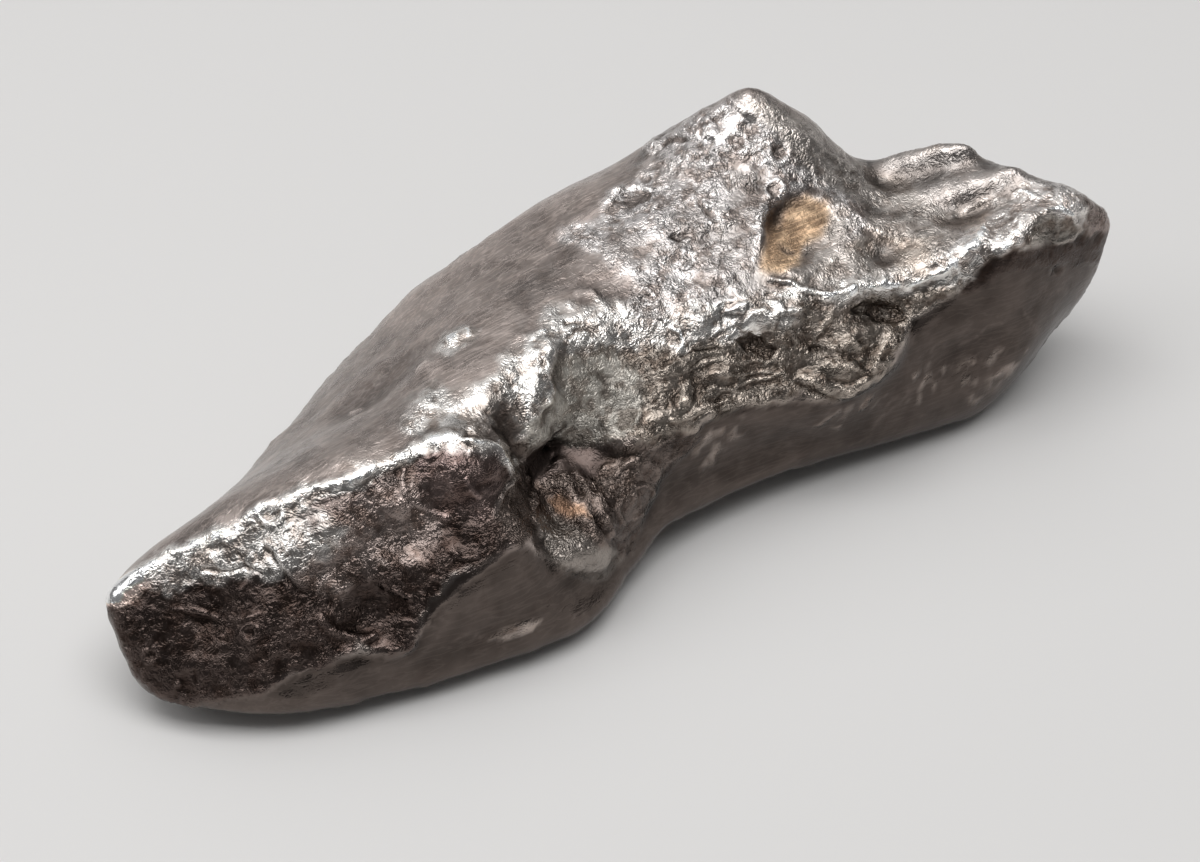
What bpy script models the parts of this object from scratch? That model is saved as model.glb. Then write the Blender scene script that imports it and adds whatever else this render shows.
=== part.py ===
"""An iron meteorite: one long, thumbprinted lump of nickel-iron, resting on its belly.

The frame is +X along the lump, from its narrow chisel end to its round nose, +Y to its back and
+Z up. The origin lies on the surface it rests on, at the middle of its box.

The lump is lofted through rails. A rail is a line that runs the length of the lump along one of
its edges or faces, and each rail has one point at each of the stations along the lump. Hollows,
lumps, ridges and grooves are then worked into the lofted skin, each at its own place.
"""

import math
from dataclasses import dataclass

import bmesh
import bpy
import numpy as np
from mathutils import Vector, noise

MM = 0.001

NODE_NAME = "iron_meteorite"
COLLECTION_NAME = "iron meteorite"

# Driving dimensions, in millimetres.
SKIN_VOXEL = 0.6
RESTING_BAND = 0.12
CHISEL_BULGE = 1.4
NOSE_BULGE = 4.6

# Which way each end points.
CHISEL_HEADING = (-0.95, -0.25, -0.2)
NOSE_HEADING = (1.0, 0.05, 0.0)

# The most triangles in the finished solid.
MOST_TRIANGLES = 9600

# How finely the loft is sampled before it is remeshed.
SAMPLES_BETWEEN_RAILS = 12
SAMPLES_BETWEEN_STATIONS = 12
END_RINGS = 8

# The iron's colour, roughness and metallic value.
IRON_COLOUR = (0.27, 0.24, 0.23, 1.0)
IRON_ROUGHNESS = 0.34
IRON_METALLIC = 1.0


@dataclass(frozen=True)
class Rail:
    """A line along the lump. Crispness is 0 where the skin rolls over it and 1 where it is an edge."""

    name: str
    crispness: float
    points: tuple


@dataclass(frozen=True)
class Oval:
    """An oval lump on the skin, or a hollow where the rise is negative.

    It looks along facing, and its length lies along the direction along. Its top or floor is
    level out to the share plateau of its radius.
    """

    name: str
    centre: tuple
    facing: tuple
    along: tuple
    length: float
    width: float
    rise: float
    plateau: float = 0.0


@dataclass(frozen=True)
class Seam:
    """A ridge along a line on the skin, or a groove where the rise is negative."""

    name: str
    facing: tuple
    width: float
    rise: float
    points: tuple


@dataclass(frozen=True)
class Roughness:
    """A rough zone round a line on the skin: hummocks of a wavelength, as high as the rise."""

    name: str
    reach: float
    wavelength: float
    rise: float
    points: tuple


# Each rail has thirteen points (x, y, z) in millimetres, from the chisel end to the nose.
# The rails go round the lump from the middle of the belly, up the front, over the top and down
# the back.
RAILS = (
    Rail("belly", 0.0, (
        (-46.5, 4.0, 2.8), (-42.5, 3.0, 1.7), (-36.0, 3.0, 1.2), (-28.0, 4.0, 0.8),
        (-20.0, 5.5, 0.3), (-11.0, 7.5, -0.2), (-2.0, 9.5, -0.5), (8.0, 10.5, -0.5),
        (18.0, 10.5, -0.45), (29.0, 9.0, -0.2), (39.5, 5.0, 0.5), (46.5, 2.0, 1.2),
        (50.5, -1.0, 4.5),
    )),
    Rail("front keel", 0.4, (
        (-47.5, 0.5, 3.0), (-43.5, -3.0, 2.5), (-36.5, -6.3, 1.8), (-28.5, -8.0, 1.4),
        (-20.5, -9.3, 1.2), (-12.0, -10.0, 1.2), (-4.6, -9.0, 1.5), (5.0, -4.2, 2.6),
        (16.0, -2.6, 3.0), (28.0, -3.2, 2.2), (39.0, -3.9, 1.3), (46.5, -3.3, 1.2),
        (53.2, -0.8, 3.6),
    )),
    Rail("front flank", 0.0, (
        (-47.8, 1.0, 3.6), (-43.7, -2.9, 3.2), (-36.8, -6.6, 3.4), (-28.6, -8.3, 3.8),
        (-20.8, -9.1, 5.4), (-13.2, -9.3, 7.4), (-5.6, -8.2, 5.2), (5.0, -3.2, 8.0),
        (15.8, -2.8, 7.5), (28.0, -4.3, 6.5), (38.8, -4.6, 8.5), (47.6, -4.6, 9.5),
        (57.0, -1.6, 9.6),
    )),
    Rail("lower brow", 0.4, (
        (-48.0, 1.5, 4.2), (-43.9, -2.8, 4.0), (-37.2, -6.4, 5.2), (-28.6, -7.9, 6.8),
        (-21.0, -8.2, 11.0), (-13.8, -7.2, 14.6), (-6.2, -7.2, 8.8), (4.2, -2.6, 15.8),
        (15.2, -3.0, 13.4), (28.0, -4.8, 12.4), (37.5, -2.8, 16.6), (47.5, -3.8, 19.4),
        (58.0, -2.4, 16.8),
    )),
    Rail("front face", 0.0, (
        (-48.4, 4.5, 7.5), (-44.3, 1.5, 8.5), (-37.5, -2.2, 10.8), (-29.5, -3.0, 12.8),
        (-21.4, -3.2, 15.8), (-13.4, -2.4, 18.2), (-4.0, 0.4, 15.6), (5.4, 2.8, 18.8),
        (15.4, 1.6, 18.0), (27.6, -1.2, 17.2), (38.0, -1.6, 18.8), (48.0, -3.6, 21.6),
        (58.2, -2.6, 19.0),
    )),
    Rail("brow", 0.5, (
        (-48.5, 8.0, 11.0), (-44.4, 8.0, 13.3), (-36.5, 6.0, 16.5), (-28.5, 3.5, 19.5),
        (-20.3, 2.5, 21.2), (-12.5, 3.0, 22.3), (-3.0, 6.6, 23.0), (5.0, 7.5, 22.8),
        (14.5, 5.0, 21.3), (25.5, 2.5, 21.2), (37.5, 0.0, 20.8), (47.8, -2.0, 23.5),
        (56.6, -2.2, 22.0),
    )),
    Rail("top", 0.0, (
        (-47.5, 9.5, 10.5), (-43.0, 10.5, 12.5), (-35.5, 9.5, 16.0), (-28.0, 9.0, 18.3),
        (-20.0, 9.5, 20.0), (-12.0, 12.0, 21.5), (-2.0, 15.5, 23.0), (8.0, 16.5, 24.2),
        (18.0, 15.5, 25.5), (28.5, 13.0, 26.0), (38.5, 8.5, 22.5), (47.2, 4.0, 22.2),
        (54.8, -0.4, 23.4),
    )),
    Rail("crest", 0.3, (
        (-46.0, 11.0, 9.3), (-41.5, 13.0, 9.6), (-34.5, 15.4, 10.4), (-27.0, 18.8, 11.2),
        (-20.5, 21.0, 12.0), (-13.5, 23.8, 14.2), (-3.5, 25.6, 19.0), (6.0, 25.8, 22.6),
        (19.0, 23.8, 25.2), (30.6, 22.3, 30.6), (40.0, 16.2, 22.6), (48.6, 9.6, 24.6),
        (53.8, 2.0, 23.0),
    )),
    Rail("upper back", 0.0, (
        (-45.5, 10.5, 7.0), (-41.0, 14.0, 6.4), (-34.0, 18.2, 6.2), (-26.4, 22.4, 7.0),
        (-19.6, 25.6, 8.2), (-12.0, 28.6, 10.4), (-2.8, 29.8, 13.6), (6.4, 29.9, 17.0),
        (18.0, 29.6, 20.0), (30.6, 27.4, 22.6), (41.5, 20.6, 16.0), (51.0, 13.8, 17.6),
        (56.6, 4.5, 19.4),
    )),
    Rail("lower back", 0.0, (
        (-45.5, 9.0, 4.5), (-41.0, 12.5, 3.5), (-34.0, 17.8, 3.0), (-26.2, 22.4, 3.0),
        (-19.0, 25.8, 3.0), (-11.0, 28.4, 4.0), (-2.0, 29.6, 5.0), (7.4, 30.2, 7.0),
        (18.0, 30.4, 9.0), (30.0, 28.0, 10.0), (41.5, 20.8, 8.0), (51.0, 14.0, 9.0),
        (56.8, 5.0, 12.4),
    )),
    Rail("back keel", 0.3, (
        (-46.0, 7.0, 3.0), (-42.0, 8.5, 2.2), (-35.0, 13.0, 1.8), (-27.0, 16.0, 1.6),
        (-19.0, 18.6, 1.5), (-11.0, 21.4, 1.6), (-2.0, 22.6, 1.8), (8.0, 23.0, 2.2),
        (18.0, 22.6, 2.5), (29.0, 20.8, 2.5), (39.5, 15.4, 1.5), (48.0, 9.4, 2.5),
        (54.0, 3.6, 6.6),
    )),
)

UP = (0.0, 0.0, 1.0)
DOWN = (0.0, 0.0, -1.0)
FRONT = (0.0, -1.0, 0.3)
FRONT_FACE = (0.0, -0.77, 0.63)
BACK = (0.0, 1.0, 0.1)
ALONG = (1.0, 0.0, 0.0)

OVALS = (
    Oval("knob at the end of the brow", (-14.5, -0.8, 20.0), (-0.1, -0.5, 0.85), ALONG,
         14.0, 10.0, 1.3, 0.2),
    Oval("wall right of the knob", (-8.4, -1.4, 16.6), (0.62, -0.62, 0.45), (0.1, 0.6, 0.8),
         15.0, 6.5, -1.9, 0.2),
    Oval("right half of the pocket", (-1.8, -1.8, 13.8), (0.15, -1.0, 0.1), (1.0, 0.0, 0.3),
         9.5, 7.6, -3.4, 0.3),
    Oval("left half of the pocket", (-6.4, -2.4, 13.0), (0.0, -1.0, 0.15), (0.6, 0.0, 1.0),
         10.5, 7.0, -2.8, 0.3),
    Oval("lip under the pocket", (-6.8, -7.0, 9.8), (0.2, -0.75, 0.62), ALONG, 9.5, 5.5, 1.3, 0.2),
    Oval("bowl above the pocket", (2.2, 3.4, 17.4), FRONT_FACE, ALONG, 13.0, 9.5, -1.5, 0.1),
    Oval("dent in the rough band", (19.0, 1.8, 18.0), FRONT_FACE, ALONG, 5.5, 4.0, -1.2),
    Oval("hollow under the ledge", (32.4, -0.8, 17.4), FRONT_FACE, ALONG, 7.5, 4.4, -1.4, 0.1),
    Oval("hook lump", (28.6, -2.4, 15.0), FRONT_FACE, ALONG, 10.5, 7.5, 1.1, 0.5),
    Oval("hollow in the hook lump", (29.4, -2.2, 14.8), FRONT_FACE, ALONG, 5.0, 3.4, -0.9),
    Oval("lump above the dent", (22.6, 1.8, 19.2), FRONT_FACE, ALONG, 6.5, 4.5, 0.8),
    Oval("lump left of the dent", (10.0, 2.2, 18.4), FRONT_FACE, ALONG, 8.0, 4.5, 0.7),
    Oval("rusty hollow", (27.9, 8.4, 23.8), (0.0, -0.38, 0.92), (0.35, 0.85, 0.35),
         9.0, 7.2, -2.4, 0.35),
    Oval("hollow behind the brow", (35.4, 3.2, 21.4), UP, ALONG, 9.0, 5.0, -0.9),
    Oval("hollow under the peak", (37.6, 8.6, 22.4), UP, ALONG, 7.0, 5.5, -0.9),
    Oval("hollow in the left face", (-28.2, -5.5, 10.3), (-0.3, -0.75, 0.6), ALONG,
         8.0, 5.5, -1.3, 0.1),
    Oval("shoulder of the left face", (-32.2, 0.6, 15.6), (-0.3, -0.6, 0.72), ALONG,
         12.0, 6.5, 0.9, 0.1),
    Oval("dip in the left face", (-41.0, 1.0, 11.0), (-0.45, -0.6, 0.65), ALONG, 9.0, 6.0, -0.7),
    Oval("dip below the brow", (-21.5, -3.6, 16.0), (-0.2, -0.7, 0.7), ALONG, 10.0, 6.0, -0.9),
    Oval("upper slope lump", (-8.9, 13.2, 22.0), UP, ALONG, 4.6, 3.6, 0.5),
    Oval("middle slope lump", (-12.6, 10.5, 21.8), UP, ALONG, 4.6, 3.4, 0.5),
    Oval("lower slope lump", (-15.7, 6.2, 21.6), UP, ALONG, 5.0, 4.0, 0.5),
    Oval("dip in the long slope", (-17.0, 14.5, 18.6), (-0.2, 0.3, 0.9), ALONG, 20.0, 8.0, -0.9),
    Oval("swell of the plateau", (12.0, 14.0, 24.6), UP, ALONG, 18.0, 12.0, 0.7),
    Oval("crater near the peak", (28.8, 18.6, 29.4), (-0.1, -0.5, 0.86), ALONG, 3.6, 3.2, -0.8),
    Oval("crater below the peak", (30.8, 15.8, 27.4), (0.0, -0.54, 0.84), ALONG, 3.6, 3.2, -0.8),
    Oval("peak", (30.4, 22.0, 30.4), UP, (0.6, -0.8, 0.0), 9.0, 6.5, 1.0),
    Oval("nose cap", (52.5, -2.0, 24.0), (0.1, -0.3, 0.9), (0.75, -0.65, 0.1), 12.0, 7.0, 0.5),
    Oval("hollow in the nose", (51.4, -4.0, 22.4), (-0.1, -0.8, 0.6), ALONG, 7.0, 4.2, -1.1, 0.1),
    Oval("hollow behind the nose", (46.4, -0.4, 22.6), UP, ALONG, 6.0, 3.8, -0.8),
    Oval("hollow in the nose flank", (41.0, -4.6, 10.5), (0.0, -1.0, 0.1), ALONG, 17.0, 9.0, -0.9),
    Oval("hollow in the waist", (16.0, -2.4, 7.0), (0.0, -1.0, 0.1), ALONG, 14.0, 6.5, -0.8),
    Oval("nose end print", (57.0, 0.0, 12.0), (1.0, 0.1, 0.0), UP, 10.0, 8.0, -1.0, 0.1),
    Oval("long back print", (-8.0, 29.0, 9.0), BACK, (1.0, 0.0, 0.2), 23.0, 13.0, -1.8),
    Oval("deep back print", (12.0, 30.2, 11.0), BACK, (1.0, 0.0, 0.5), 20.0, 15.0, -2.2, 0.1),
    Oval("peak back print", (30.0, 28.0, 15.0), BACK, (-0.3, 0.0, 1.0), 20.0, 14.0, -2.0),
    Oval("nose back print", (44.5, 17.6, 12.0), (0.5, 0.85, 0.1), (0.2, 0.0, 1.0),
         17.0, 13.0, -1.8),
    Oval("thin end back print", (-25.0, 22.4, 6.5), (-0.3, 0.9, 0.3), (1.0, 0.0, 0.1),
         19.0, 10.0, -1.4),
    Oval("chisel back print", (-38.0, 15.0, 6.0), (-0.4, 0.85, 0.35), (1.0, 0.0, 0.4),
         12.0, 8.0, -1.0),
    Oval("upper back print", (2.0, 28.2, 18.0), (0.0, 0.8, 0.6), (1.0, 0.0, 0.2), 16.0, 9.0, -1.2),
    Oval("low back print", (1.0, 30.0, 4.5), BACK, ALONG, 13.0, 7.0, -1.0),
    Oval("low print under the peak", (22.0, 30.4, 5.5), BACK, ALONG, 14.0, 8.0, -1.0),
    Oval("under the nose", (45.0, 3.0, 0.8), DOWN, ALONG, 13.0, 9.0, -1.5, 0.1),
    Oval("under the waist", (4.0, -2.0, 0.8), DOWN, ALONG, 14.0, 8.0, -1.6, 0.1),
    Oval("under the chisel end", (-37.0, 3.0, 0.8), DOWN, ALONG, 12.0, 8.0, -1.0, 0.1),
    Oval("under the back", (24.0, 23.0, 2.4), (0.0, 0.5, -0.85), ALONG, 17.0, 8.0, -1.6, 0.1),
    Oval("under the long back", (-8.0, 22.0, 1.4), (0.0, 0.3, -0.9), ALONG, 18.0, 8.0, -1.1),
    Oval("under the thin end", (-24.0, -2.0, 0.8), DOWN, (1.0, -0.2, 0.0), 17.0, 8.0, -1.0),
)

SEAMS = (
    Seam("rib down from the bowl to the knob", (0.3, -0.7, 0.65), 2.6, 1.2, (
        (-2.5, 6.4, 22.6), (-5.0, 3.6, 20.6), (-7.0, 1.6, 19.2), (-8.6, 0.2, 18.0),
    )),
    Seam("wedge in the pocket", (0.1, -0.6, 0.8), 3.0, 1.3, (
        (-3.6, 0.5, 11.8), (-4.6, -2.5, 11.0), (-4.6, -5.0, 9.6), (-4.5, -7.2, 7.8),
    )),
    Seam("brim over the pocket", FRONT_FACE, 2.0, 0.8, (
        (-4.2, 2.4, 17.4), (0.2, 0.8, 15.4), (4.0, -0.6, 14.8),
    )),
    Seam("gully behind the knob", UP, 2.0, -1.1, (
        (-13.2, 2.8, 21.8), (-10.4, 2.2, 20.8), (-8.8, 0.4, 18.6),
    )),
    Seam("crease left of the lip", (0.2, -0.8, 0.6), 1.8, -1.0, (
        (-12.0, -4.0, 15.6), (-10.8, -6.0, 13.0), (-9.8, -7.8, 10.4),
    )),
    Seam("rim of the hook lump", FRONT_FACE, 1.7, 0.7, (
        (24.4, -2.2, 13.6), (28.0, -4.4, 12.8), (31.2, -4.6, 13.8), (33.0, -3.6, 16.2),
    )),
    Seam("bright ledge of the brow", (0.0, -0.6, 0.8), 1.7, 0.6, (
        (29.5, 0.8, 20.6), (34.5, 0.2, 20.6), (38.0, -0.4, 21.0), (41.5, -1.2, 21.6),
    )),
    Seam("rearmost rib", UP, 2.6, 1.1, (
        (50.0, 9.2, 24.4), (47.0, 11.4, 23.8), (43.6, 13.6, 22.8),
    )),
    Seam("rear groove", UP, 1.9, -1.5, (
        (51.0, 6.6, 24.8), (47.6, 8.4, 23.8), (44.0, 10.4, 22.8), (40.6, 12.0, 22.6),
    )),
    Seam("middle rib", UP, 2.2, 0.9, (
        (52.2, 4.6, 23.6), (49.0, 5.2, 23.4), (45.8, 6.6, 22.4), (43.0, 8.0, 22.4),
    )),
    Seam("front groove", UP, 1.8, -1.4, (
        (52.8, 1.2, 25.0), (50.0, 2.4, 24.0), (47.0, 3.4, 22.6), (43.4, 4.0, 21.8),
    )),
    Seam("rim of the white plates", (-0.4, -0.35, 0.85), 1.6, 0.6, (
        (18.6, 20.6, 26.4), (23.6, 19.6, 28.4), (27.4, 19.6, 29.8),
    )),
    Seam("rim of the rusty hollow", (0.0, -0.38, 0.92), 1.6, 0.6, (
        (25.4, 4.6, 22.4), (23.8, 7.6, 23.8), (24.8, 11.0, 25.0), (28.2, 12.4, 25.6),
    )),
    Seam("back ledge", (0.0, 0.8, 0.6), 2.4, 0.9, (
        (-2.0, 29.0, 13.0), (6.0, 29.6, 14.6), (16.0, 29.6, 17.4),
    )),
)

ROUGHNESSES = (
    Roughness("rough band", 5.5, 3.2, 0.75, (
        (6.0, 3.0, 17.5), (14.0, 2.6, 17.6), (22.0, 1.0, 16.4), (30.0, -1.2, 14.6),
    )),
    Roughness("pocket and knob", 6.0, 3.4, 0.45, (
        (-14.0, -2.0, 18.0), (-4.0, -2.0, 13.0), (0.0, -3.0, 12.0),
    )),
    Roughness("left face", 8.0, 3.8, 0.5, (
        (-42.0, 1.0, 11.0), (-32.0, -1.5, 13.5), (-22.0, -4.0, 15.0),
    )),
    Roughness("white plateau", 9.0, 4.0, 0.35, (
        (14.0, 16.0, 25.0), (22.0, 14.0, 26.0), (28.0, 18.0, 29.0),
    )),
    Roughness("top of the nose", 6.0, 3.6, 0.35, (
        (36.0, 4.0, 21.6), (44.0, 3.0, 22.0), (52.0, -2.0, 24.0),
    )),
    Roughness("whole skin", 200.0, 8.0, 0.35, (
        (-40.0, 8.0, 10.0), (40.0, 8.0, 10.0),
    )),
    Roughness("swells of the whole skin", 200.0, 17.0, 0.5, (
        (-40.0, 8.0, 10.0), (40.0, 8.0, 10.0),
    )),
)


def unit(direction):
    """The direction, one unit long."""
    return np.asarray(direction) / np.linalg.norm(direction)


def hermite(start, end, start_slope, end_slope, t):
    """Points of a cubic that leaves start and reaches end with the given slopes."""
    t2, t3 = t * t, t * t * t
    return (
        (2 * t3 - 3 * t2 + 1) * start
        + (t3 - 2 * t2 + t) * start_slope
        + (3 * t2 - 2 * t3) * end
        + (t3 - t2) * end_slope
    )


def open_spline(points, samples):
    """A smooth line through points, along the first axis, with so many samples between two."""
    slopes = np.empty_like(points)
    slopes[1:-1] = (points[2:] - points[:-2]) / 2
    slopes[0] = points[1] - points[0]
    slopes[-1] = points[-1] - points[-2]
    rows = [
        hermite(points[i], points[i + 1], slopes[i], slopes[i + 1], step / samples)
        for i in range(len(points) - 1)
        for step in range(samples)
    ]
    return np.array(rows + [points[-1]])


def closed_spline(points, crispness, samples):
    """A smooth ring through points, along the first axis, that turns sharply at crisp ones."""
    softness = (1 - np.asarray(crispness)).reshape(-1, *[1] * (points.ndim - 1))
    slopes = (np.roll(points, -1, axis=0) - np.roll(points, 1, axis=0)) / 2 * softness
    after, slopes_after = np.roll(points, -1, axis=0), np.roll(slopes, -1, axis=0)
    rows = [
        hermite(points[i], after[i], slopes[i], slopes_after[i], step / samples)
        for i in range(len(points))
        for step in range(samples)
    ]
    return np.array(rows)


def lofted_rings():
    """The rings of the loft, from the chisel end to the nose, each an array of points."""
    net = np.array([rail.points for rail in RAILS])
    crispness = [rail.crispness for rail in RAILS]
    along = np.array([open_spline(rail, SAMPLES_BETWEEN_STATIONS) for rail in net])
    skin = closed_spline(along, crispness, SAMPLES_BETWEEN_RAILS)
    return [skin[:, i] for i in range(skin.shape[1])]


def end_rings(last, heading, bulge):
    """Rings that round off an end, shrinking from its last ring as they move out, and its tip."""
    middle = last.mean(axis=0)
    outwards = bulge * unit(heading)
    angles = [math.pi / 2 * step / END_RINGS for step in range(1, END_RINGS)]
    rings = [
        middle + (last - middle) * math.cos(angle) + outwards * math.sin(angle) for angle in angles
    ]
    return rings, middle + outwards


def loft_mesh():
    """The closed skin through the rings, as a mesh in metres."""
    rings = lofted_rings()
    chisel, chisel_tip = end_rings(rings[0], CHISEL_HEADING, CHISEL_BULGE)
    nose, nose_tip = end_rings(rings[-1], NOSE_HEADING, NOSE_BULGE)
    rings = chisel[::-1] + rings + nose
    bm = bmesh.new()
    rows = [[bm.verts.new(point * MM) for point in ring] for ring in rings]
    count = len(rows[0])
    for row, following in zip(rows, rows[1:]):
        for i in range(count):
            j = (i + 1) % count
            bm.faces.new((row[i], row[j], following[j], following[i]))
    for row, tip in ((rows[0], chisel_tip), (rows[-1], nose_tip)):
        apex = bm.verts.new(tip * MM)
        for i in range(count):
            bm.faces.new((apex, row[i], row[(i + 1) % count]))
    bmesh.ops.recalc_face_normals(bm, faces=bm.faces)
    mesh = bpy.data.meshes.new(NODE_NAME)
    bm.to_mesh(mesh)
    bm.free()
    return mesh


def bake_modifiers(obj):
    """Makes the object's modifiers part of its mesh."""
    shape = obj.evaluated_get(bpy.context.evaluated_depsgraph_get())
    mesh = bpy.data.meshes.new_from_object(shape)
    obj.modifiers.clear()
    worn = obj.data
    obj.data = mesh
    bpy.data.meshes.remove(worn)


def remesh(obj):
    """Gives the skin an even net of small quads."""
    modifier = obj.modifiers.new("even skin", "REMESH")
    modifier.mode = "VOXEL"
    modifier.voxel_size = SKIN_VOXEL * MM
    bake_modifiers(obj)


def skin_points(mesh):
    """The skin's points in millimetres and the directions they face."""
    points = np.empty(len(mesh.vertices) * 3)
    mesh.vertices.foreach_get("co", points)
    facings = np.empty(len(mesh.vertices) * 3)
    mesh.vertices.foreach_get("normal", facings)
    return points.reshape(-1, 3) / MM, facings.reshape(-1, 3)


def ease(share):
    """A share from 0 to 1 that starts and ends gently."""
    share = np.clip(share, 0.0, 1.0)
    return share * share * (3 - 2 * share)


def turned_towards(facings, facing):
    """How far each point faces a direction, as a share from 0 to 1."""
    return ease((facings @ facing + 0.1) / 0.5)


def oval_lift(points, facings, oval):
    """How far an oval moves each point of the skin, as vectors."""
    facing = unit(oval.facing)
    across = unit(np.cross(facing, unit(oval.along)))
    along = np.cross(across, facing)
    offset = points - np.asarray(oval.centre)
    radius = np.hypot(offset @ along / (oval.length / 2), offset @ across / (oval.width / 2))
    level = ease((1 - radius) / (1 - oval.plateau))
    near = ease(2 - np.abs(offset @ facing) / (oval.width / 2))
    lift = oval.rise * level * near * turned_towards(facings, facing)
    return lift[:, None] * facing


def distance_to_line(points, line):
    """The distance from each point to a line through several points."""
    line = np.asarray(line)
    nearest = np.full(len(points), np.inf)
    for start, end in zip(line, line[1:]):
        run = end - start
        share = np.clip((points - start) @ run / (run @ run), 0.0, 1.0)
        nearest = np.minimum(nearest, np.linalg.norm(points - start - share[:, None] * run, axis=1))
    return nearest


def seam_lift(points, facings, seam):
    """How far a seam moves each point of the skin, as vectors."""
    facing = unit(seam.facing)
    lift = seam.rise * ease(1 - distance_to_line(points, seam.points) / seam.width)
    lift *= turned_towards(facings, facing)
    return lift[:, None] * facing


def rough_lift(points, facings, zone):
    """How far a rough zone moves each point of the skin, as vectors."""
    share = ease(2 - 2 * distance_to_line(points, zone.points) / zone.reach)
    hummocks = np.array([noise.noise(Vector(point / zone.wavelength)) for point in points])
    return (zone.rise * share * hummocks)[:, None] * facings


def sculpt(obj):
    """Works the lumps, hollows, ridges, grooves and rough zones into the skin."""
    points, facings = skin_points(obj.data)
    for oval in OVALS:
        points += oval_lift(points, facings, oval)
    for seam in SEAMS:
        points += seam_lift(points, facings, seam)
    for zone in ROUGHNESSES:
        points += rough_lift(points, facings, zone)
    obj.data.vertices.foreach_set("co", (points * MM).ravel())
    obj.data.update()


def smooth(obj, factor, repeats):
    """Smooths the skin."""
    modifier = obj.modifiers.new("smooth", "SMOOTH")
    modifier.factor = factor
    modifier.iterations = repeats
    bake_modifiers(obj)


def thin_out(obj):
    """Keeps only as many triangles as the shape needs."""
    obj.data.calc_loop_triangles()
    modifier = obj.modifiers.new("fewer faces", "DECIMATE")
    modifier.ratio = MOST_TRIANGLES / len(obj.data.loop_triangles)
    bake_modifiers(obj)


def flatten_belly(obj, band):
    """Lays every point that is lower than the band flat on the surface the lump rests on."""
    points, _ = skin_points(obj.data)
    points[points[:, 2] < band, 2] = 0.0
    obj.data.vertices.foreach_set("co", (points * MM).ravel())
    obj.data.update()


def centre_on_box(obj):
    """Moves the mesh so that the origin is under the middle of its box."""
    points, _ = skin_points(obj.data)
    middle = (points.min(axis=0) + points.max(axis=0)) / 2
    points[:, :2] -= middle[:2]
    obj.data.vertices.foreach_set("co", (points * MM).ravel())
    obj.data.update()


def finish_faces(obj):
    """Makes every face a triangle that looks outwards and is shaded smooth."""
    bm = bmesh.new()
    bm.from_mesh(obj.data)
    bmesh.ops.triangulate(bm, faces=bm.faces)
    bmesh.ops.recalc_face_normals(bm, faces=bm.faces)
    for face in bm.faces:
        face.smooth = True
    bm.to_mesh(obj.data)
    bm.free()


def iron():
    """The meteorite's metal."""
    material = bpy.data.materials.new("meteoritic iron")
    material.use_nodes = True
    shader = material.node_tree.nodes["Principled BSDF"]
    shader.inputs["Base Color"].default_value = IRON_COLOUR
    shader.inputs["Roughness"].default_value = IRON_ROUGHNESS
    shader.inputs["Metallic"].default_value = IRON_METALLIC
    material.diffuse_color = IRON_COLOUR
    return material


def clear_scene():
    """Removes every object, so the file can be run again."""
    for obj in list(bpy.data.objects):
        bpy.data.objects.remove(obj)


def main():
    """Builds the meteorite."""
    clear_scene()
    collection = bpy.data.collections.new(COLLECTION_NAME)
    bpy.context.scene.collection.children.link(collection)
    lump = bpy.data.objects.new(NODE_NAME, loft_mesh())
    collection.objects.link(lump)
    remesh(lump)
    smooth(lump, 0.5, 10)
    sculpt(lump)
    smooth(lump, 0.5, 2)
    remesh(lump)
    smooth(lump, 0.5, 2)
    flatten_belly(lump, RESTING_BAND)
    thin_out(lump)
    flatten_belly(lump, RESTING_BAND / 2)
    finish_faces(lump)
    centre_on_box(lump)
    lump.data.name = NODE_NAME
    lump.data.materials.clear()
    lump.data.materials.append(iron())


if __name__ == "__main__":
    main()
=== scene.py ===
"""An iron meteorite: a long, thumbprinted lump of nickel-iron that lies on its belly.

The lump's solid gives its form. This script takes a copy of that skin, makes it fine enough to
carve, works in the edges, plates, pits and creases that the photograph shows, adds the metal's own
grain by a Geometry Nodes tree, and dresses it in iron that is worn and weathered, with painted
shade and painted highlights in its colour.

Places on the skin are given as points of the photograph's 1200 by 862 frame, seen through the
camera that took it. Heights and depths are in millimetres, and widths on the skin in pixels.
"""

import logging
import math
from dataclasses import dataclass, field, fields
from enum import Enum
from typing import Any

import bmesh
import bpy
import numpy as np
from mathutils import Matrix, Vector, noise


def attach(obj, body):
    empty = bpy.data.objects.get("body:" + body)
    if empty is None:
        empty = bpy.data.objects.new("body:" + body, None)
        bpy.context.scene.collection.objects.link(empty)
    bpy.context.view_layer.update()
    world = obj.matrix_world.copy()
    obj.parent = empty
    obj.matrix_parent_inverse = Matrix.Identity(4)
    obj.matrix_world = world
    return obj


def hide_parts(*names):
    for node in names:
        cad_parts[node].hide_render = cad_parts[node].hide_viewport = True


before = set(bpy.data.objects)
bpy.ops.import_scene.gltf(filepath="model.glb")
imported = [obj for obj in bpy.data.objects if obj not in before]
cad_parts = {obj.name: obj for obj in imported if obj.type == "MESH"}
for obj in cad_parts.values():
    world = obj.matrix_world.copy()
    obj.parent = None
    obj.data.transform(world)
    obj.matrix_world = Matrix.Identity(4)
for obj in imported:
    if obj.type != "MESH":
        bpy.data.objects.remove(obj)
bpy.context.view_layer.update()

NODE = "iron_meteorite"
PIECE = "meteorite_skin"
BODY = "root"
MM = 0.001
TONE_AMOUNTS = ("fine", "grain", "pits", "layers", "flow", "roughness", "rust")
MIDDLE = 0.5
SCRATCH_WIDTH = 1.2
SCRATCH_RISE = 0.02

Pixel = tuple[float, float]
Line = tuple[Pixel, ...]
Place = tuple[float, float, float]
Colour = tuple[float, float, float]
Array = np.ndarray

log = logging.getLogger("meteorite")


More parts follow.
